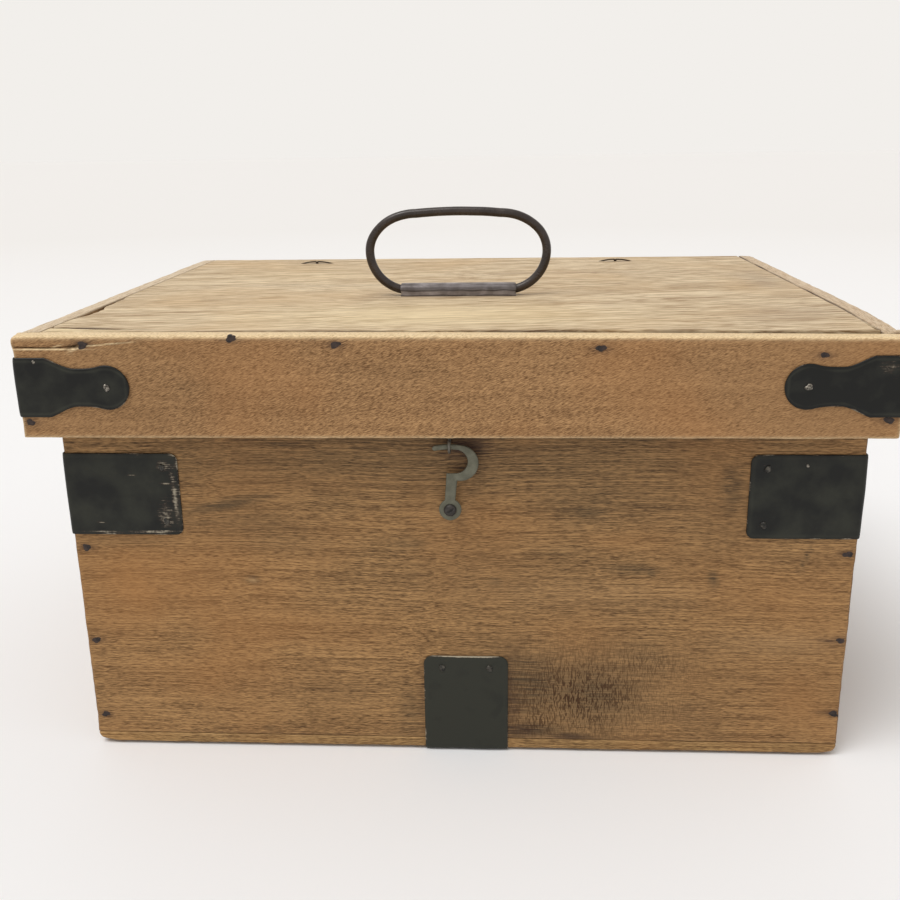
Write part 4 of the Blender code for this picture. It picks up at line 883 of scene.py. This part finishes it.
def hookSurface():
    # flat plate between two edges: round pad, leaning shank, a bend whose circles touch the band's edges,
    # and a band concentric with the pivot
    padRows, shankRows, bendRows, evenRows, bandRows, tipRows = 40, 12, 60, 70, 30, 9
    outer, inner = hook["reach"] + hook["band"] / 2, hook["reach"] - hook["band"] / 2
    rise = outer - hook["bendDrop"]
    outerBend = (outer ** 2 - hook["right"] ** 2 - rise ** 2) / (2 * (outer - hook["right"]))
    outerAt = (hook["right"] - outerBend, rise)
    mouthRight, mouthLow = hook["right"] - hook["bendWidth"], inner - hook["mouth"]
    span = mouthLow - mouthRight + inner
    innerBend = np.sqrt(span ** 2 - mouthRight ** 2 - mouthLow ** 2 + inner ** 2) - span
    innerAt = (mouthRight - innerBend, mouthLow + innerBend)
    tip = square + np.radians(hook["tip"])
    outerTouch, innerTouch = np.arctan2(*outerAt[::-1]), np.arctan2(*innerAt[::-1])
    half = hook["shank"] / 2
    shankAt = np.arcsin(half / hook["pad"])
    meets = -square + np.arcsin((half + hook["lean"] - outerAt[0]) / outerBend)
    padLeft = circle((0, 0), hook["pad"], np.linspace(-square, -3 * square + shankAt, padRows))
    padRight = padLeft * (-1, 1)
    corner = circle(outerAt, outerBend, np.array([meets]))
    shankLeft = spread(np.array([padLeft[-1], (hook["lean"] - half, mouthLow)]), shankRows)
    shankRight = spread(np.concatenate([padRight[-1:], corner]), shankRows)
    bendIn = circle(innerAt, innerBend, np.linspace(-square, innerTouch, bendRows))
    bendIn = np.concatenate([shankLeft[-1:], bendIn])
    bendOut = circle(outerAt, outerBend, np.linspace(meets, outerTouch, bendRows))
    # the band ends in a round tip
    close = np.linspace(0, square, tipRows)[1:]
    ends = tip + np.sin(close) * hook["band"] / 2 / hook["reach"]
    narrow = np.concatenate([np.zeros(bandRows - 1), hook["band"] / 2 * (1 - np.cos(close))])
    atOut, atIn = (np.concatenate([np.linspace(touch, tip, bandRows)[1:], ends])
                   for touch in (outerTouch, innerTouch))
    bandOut, bandIn = circle((0, 0), outer - narrow, atOut), circle((0, 0), inner + narrow, atIn)
    left = np.concatenate([padLeft, shankLeft[1:], spread(bendIn, evenRows)[1:], bandIn])
    rightEdge = np.concatenate([padRight, shankRight[1:], spread(bendOut, evenRows)[1:], bandOut])
    middle, reach = (left + rightEdge) / 2, (rightEdge - left) / 2
    half = np.linalg.norm(reach, axis=1)
    across = reach / np.maximum(half, 1e-6)[:, None]
    across[[0, -1]] = across[[1, -2]]
    flat = np.stack([middle[:, 0], 0 * half + hook["gauge"] / 2, middle[:, 1]], 1) + hook["pivot"]
    across = np.stack([across[:, 0], 0 * half, across[:, 1]], 1)
    thick = np.full(len(flat), hook["gauge"] * mm)
    return sheetSurface(flat * mm, np.tile(-back, (len(flat), 1)), across, half * mm, thick, hook["roll"])[:2]


makePiece("hook", "hook", *hookSurface(), metals["hook"], "hook_steel", ["latch_hook"])

screw = {"head": 2.8, "dome": 1.6, "slot": 0.8, "slotEdge": 0.24, "depth": 0.7, "turn": 30, "base": -137.6,
         "behind": 0.2, "rings": 26, "sides": 72}


def screwSurface():  # polar dome with a straight slot cut across it, closed behind
    share = np.sin(np.linspace(0, square, screw["rings"]))
    turn = np.linspace(0, 2 * np.pi, screw["sides"], endpoint=False)
    x, z = screw["head"] * share[:, None] * np.cos(turn), screw["head"] * share[:, None] * np.sin(turn)
    lean = np.radians(screw["turn"])
    across = np.abs(z * np.cos(lean) - x * np.sin(lean))
    high = screw["dome"] * np.sqrt(1 - share ** 2)[:, None] - 0 * x
    slotted = np.clip((screw["slot"] / 2 + screw["slotEdge"] / 2 - across) / screw["slotEdge"], 0, 1)
    high -= slotted * np.maximum(high - screw["dome"] + screw["depth"], 0)
    x, z = np.concatenate([x, x[-1:], 0 * x[-1:]]), np.concatenate([z, z[-1:], 0 * z[-1:]])
    high = np.concatenate([high, np.full((2, len(turn)), -screw["behind"])])
    points = np.stack([x + hook["pivot"][0], screw["base"] - high, z + hook["pivot"][2]], -1) * mm
    return points.reshape(-1, 3), gridFaces(len(x), len(turn))


makePiece("hookScrew", "case", *screwSurface(), metals["screw"], "wire_steel", ["hook_screw"])

eye = {"at": (-1.5, -136.65, 153.8), "ring": 3.05, "wire": 1.3, "drop": 1.0, "shank": 11.0, "sides": 14,
       "start": 50, "turn": 280}  # degrees


def eyeSurface():  # shank down out of the board, a smooth step aside, then most of a turn
    loopRows, stepRows, shankRows = 60, 13, 8
    angles = np.radians(eye["start"] - eye["turn"] * np.linspace(0, 1, loopRows))
    loop = circle((0, 0), eye["ring"], angles)
    neck, top = eye["ring"] + eye["wire"], eye["ring"] + eye["wire"] / 2 + eye["drop"] + eye["shank"]
    t = np.linspace(0, 1, stepRows + 1)[:-1]
    heading = unit(loop[1] - loop[0])
    reach = np.linalg.norm(loop[0] - (0, neck))
    step = np.stack([cubic(t, 0, 0, loop[0, 0], heading[0], reach),
                     cubic(t, neck, -1, loop[0, 1], heading[1], reach)], 1)
    shank = np.stack([np.zeros(shankRows), np.linspace(top, neck, shankRows + 1)[:-1]], 1)
    line = np.concatenate([shank, step, loop])
    path = (np.stack([0 * line[:, 0], line[:, 0], line[:, 1]], 1) + eye["at"]) * mm
    return tubeSurface(path, eye["wire"] / 2 * mm, eye["sides"], right)


makePiece("latchEye", "lid", *eyeSurface(), metals["eye"], "wire_steel", ["latch_eye"])

cotter = {"spread": 98.25, "offset": -4.5, "axis": (125.85, 188.1), "wire": 1.6, "eye": 2.5, "neck": 5.6,
          "leg": 0.95, "close": 0.3, "bend": 0.7, "lean": 22, "caseGrip": 15.6, "caseClinch": 9.5,
          "lidGrip": 17.6, "lidClinch": 11.4, "bedded": 0.3, "dip": 2.3, "sides": 12,
          "drawn": 0.72, "thin": 0.62, "tip": 0.47}  # shares of the wire at a leg's bend, past it, at its tip


def cotterSurface(origin, across, along, grip, clinch):
    # a wire eye, a neck that draws in, two legs through the board, each turned over with its thinned tip
    # hammered in
    rows, bendRows = 12, 9
    wireEye, bend = cotter["eye"], cotter["bend"]
    turn, t = np.linspace(0, square, rows), np.linspace(0, 1, rows)[1:]
    out = np.concatenate([wireEye * np.sin(turn), cubic(t, wireEye, 0, cotter["leg"], 0, 1)])
    run = np.concatenate([wireEye * (1 - np.cos(turn)), wireEye + (cotter["neck"] - wireEye) * t])
    turnAt = grip - cotter["bedded"] + cotter["wire"] / 2 - bend
    over = np.linspace(0, square, bendRows)
    sideways = np.concatenate([bend * (1 - np.cos(over)), bend + clinch * t])
    forward = np.concatenate([turnAt + bend * np.sin(over), turnAt + bend - cotter["dip"] * t ** 2])
    legs = []
    for sign in (-1, 1):
        eyeHalf = sign * out[:, None] * across + run[:, None] * along
        leg = sign * cotter["close"] * across + sign * sideways[:, None] * right + forward[:, None] * along
        legs.append(np.concatenate([eyeHalf, leg]))
    path = (np.concatenate([legs[0][::-1], legs[1][1:]]) + origin) * mm
    drawn = np.concatenate([np.linspace(cotter["drawn"], cotter["thin"], bendRows),
                            cotter["thin"] + (cotter["tip"] - cotter["thin"]) * t])
    thin = np.concatenate([drawn[::-1], np.ones(len(path) - 2 * len(drawn)), drawn])
    skew = np.array((0.48, 0.6, 0.64))  # a direction that no part of the wire follows
    return tubeSurface(path, thin * cotter["wire"] / 2 * mm, cotter["sides"], skew)


lean = np.radians(cotter["lean"])
leaning = np.cos(lean) * up - np.sin(lean) * back
for side, sign in (("left", -1), ("right", 1)):
    axis = np.array([cotter["offset"] + sign * cotter["spread"], *cotter["axis"]])
    for body, start, across, along in (("case", axis + cotter["eye"] * back, up, -back),
                                       ("lid", axis, right, leaning)):
        surface = cotterSurface(start, across, along, cotter[body + "Grip"], cotter[body + "Clinch"])
        makePiece(f"{body}Cotter{side.title()}", body, *surface, metals["wire"], "wire_steel",
                  [f"hinge_{body}_cotter_{side}"])
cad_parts["hook_spacer"].data.materials.clear()
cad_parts["hook_spacer"].data.materials.append(metals["wire"])
print("hardware made")


# Stage: pale floor, pale surround, soft light and the photograph's view

def makeStage():
    stage = {"size": 40.0, "floor": "#F5F5F6", "far": "#ECEAE8", "fade": (0.5, 3.0),  # m
             "surround": "#F2EFEB", "ambient": 0.7}
    mesh = bpy.data.meshes.new("floor")
    half = stage["size"] / 2
    corners = [(-half, -half, 0), (half, -half, 0), (half, half, 0), (-half, half, 0)]
    mesh.from_pydata(corners, [], [(0, 1, 2, 3)])
    material, tree, sockets = newMaterial("paleFloor", Roughness=0.9)
    # the far floor is a shade darker, so that it meets the surround without a line
    place = add(tree, "TexCoord", {}, "Object")
    far = add(tree, "VectorMath", {0: place}, "Value", operation="LENGTH")
    far = add(tree, "MapRange", {0: far, 1: stage["fade"][0], 2: stage["fade"][1]})
    colour = add(tree, "Mix", {0: far, 6: linear(stage["floor"]), 7: linear(stage["far"])}, 2,
                 data_type="RGBA")
    tree.links.new(colour, sockets["Base Color"])
    mesh.materials.append(material)
    floor = bpy.data.objects.new("floor", mesh)
    bpy.context.scene.collection.objects.link(floor)
    # the surround lights the object softly, and is full white only to the camera and in reflections
    world = bpy.data.worlds.new("softRoom")
    world.use_nodes = True
    tree = world.node_tree
    path = tree.nodes.new("ShaderNodeLightPath").outputs
    seen = add(tree, "Math", {0: path["Is Camera Ray"], 1: path["Is Glossy Ray"]}, operation="MAXIMUM")
    strength = add(tree, "MapRange", {0: seen, 3: stage["ambient"]})
    surround = tree.nodes["Background"].inputs
    surround["Color"].default_value = linear(stage["surround"])
    tree.links.new(strength, surround["Strength"])
    bpy.context.scene.world = world


def addHolder(name, data, aside, above, behind, place):  # lamp or camera by its own three axes and its place
    holder = bpy.data.objects.new(name, data)
    rows = np.stack([aside, above, behind, place], 1)
    holder.matrix_world = Matrix([*map(tuple, rows), (0, 0, 0, 1)])
    bpy.context.scene.collection.objects.link(holder)
    return holder


def makeSkyLight():  # one broad even light, high on the left, whose edges make soft shadows
    light = {"towards": (-0.35, -0.3, 0.89), "spread": 34, "strength": 1.5, "away": 2}
    lamp = bpy.data.lights.new("skyLight", "SUN")
    lamp.angle = np.radians(light["spread"])
    lamp.energy = light["strength"]
    out = unit(np.array(light["towards"]))
    aside = unit(np.cross(back, out))
    addHolder("skyLight", lamp, aside, np.cross(out, aside), out, light["away"] * out)


def makeCamera():
    view = {"place": (23.7, -563.75, 280.3), "pixels": 1027, "pitch": 16.74, "yaw": -3.34, "roll": -0.84,
            "sensor": 36, "image": 900}
    pitch, yaw, roll = np.radians([view["pitch"], view["yaw"], view["roll"]])
    ahead = np.array([np.sin(yaw) * np.cos(pitch), np.cos(yaw) * np.cos(pitch), -np.sin(pitch)])
    aside = np.array([np.cos(yaw), -np.sin(yaw), 0])
    above = np.cross(aside, ahead)
    aside, above = np.cos(roll) * aside + np.sin(roll) * above, np.cos(roll) * above - np.sin(roll) * aside
    lens = bpy.data.cameras.new("photoView")
    lens.sensor_width = view["sensor"]
    lens.lens = view["sensor"] * view["pixels"] / view["image"]
    lens.clip_start = 0.01
    place = np.array(view["place"]) * mm
    bpy.context.scene.camera = addHolder("photoView", lens, aside, above, -ahead, place)


makeStage()
makeSkyLight()
makeCamera()
bpy.context.scene.view_settings.view_transform = "Standard"
print("stage, light and camera made")
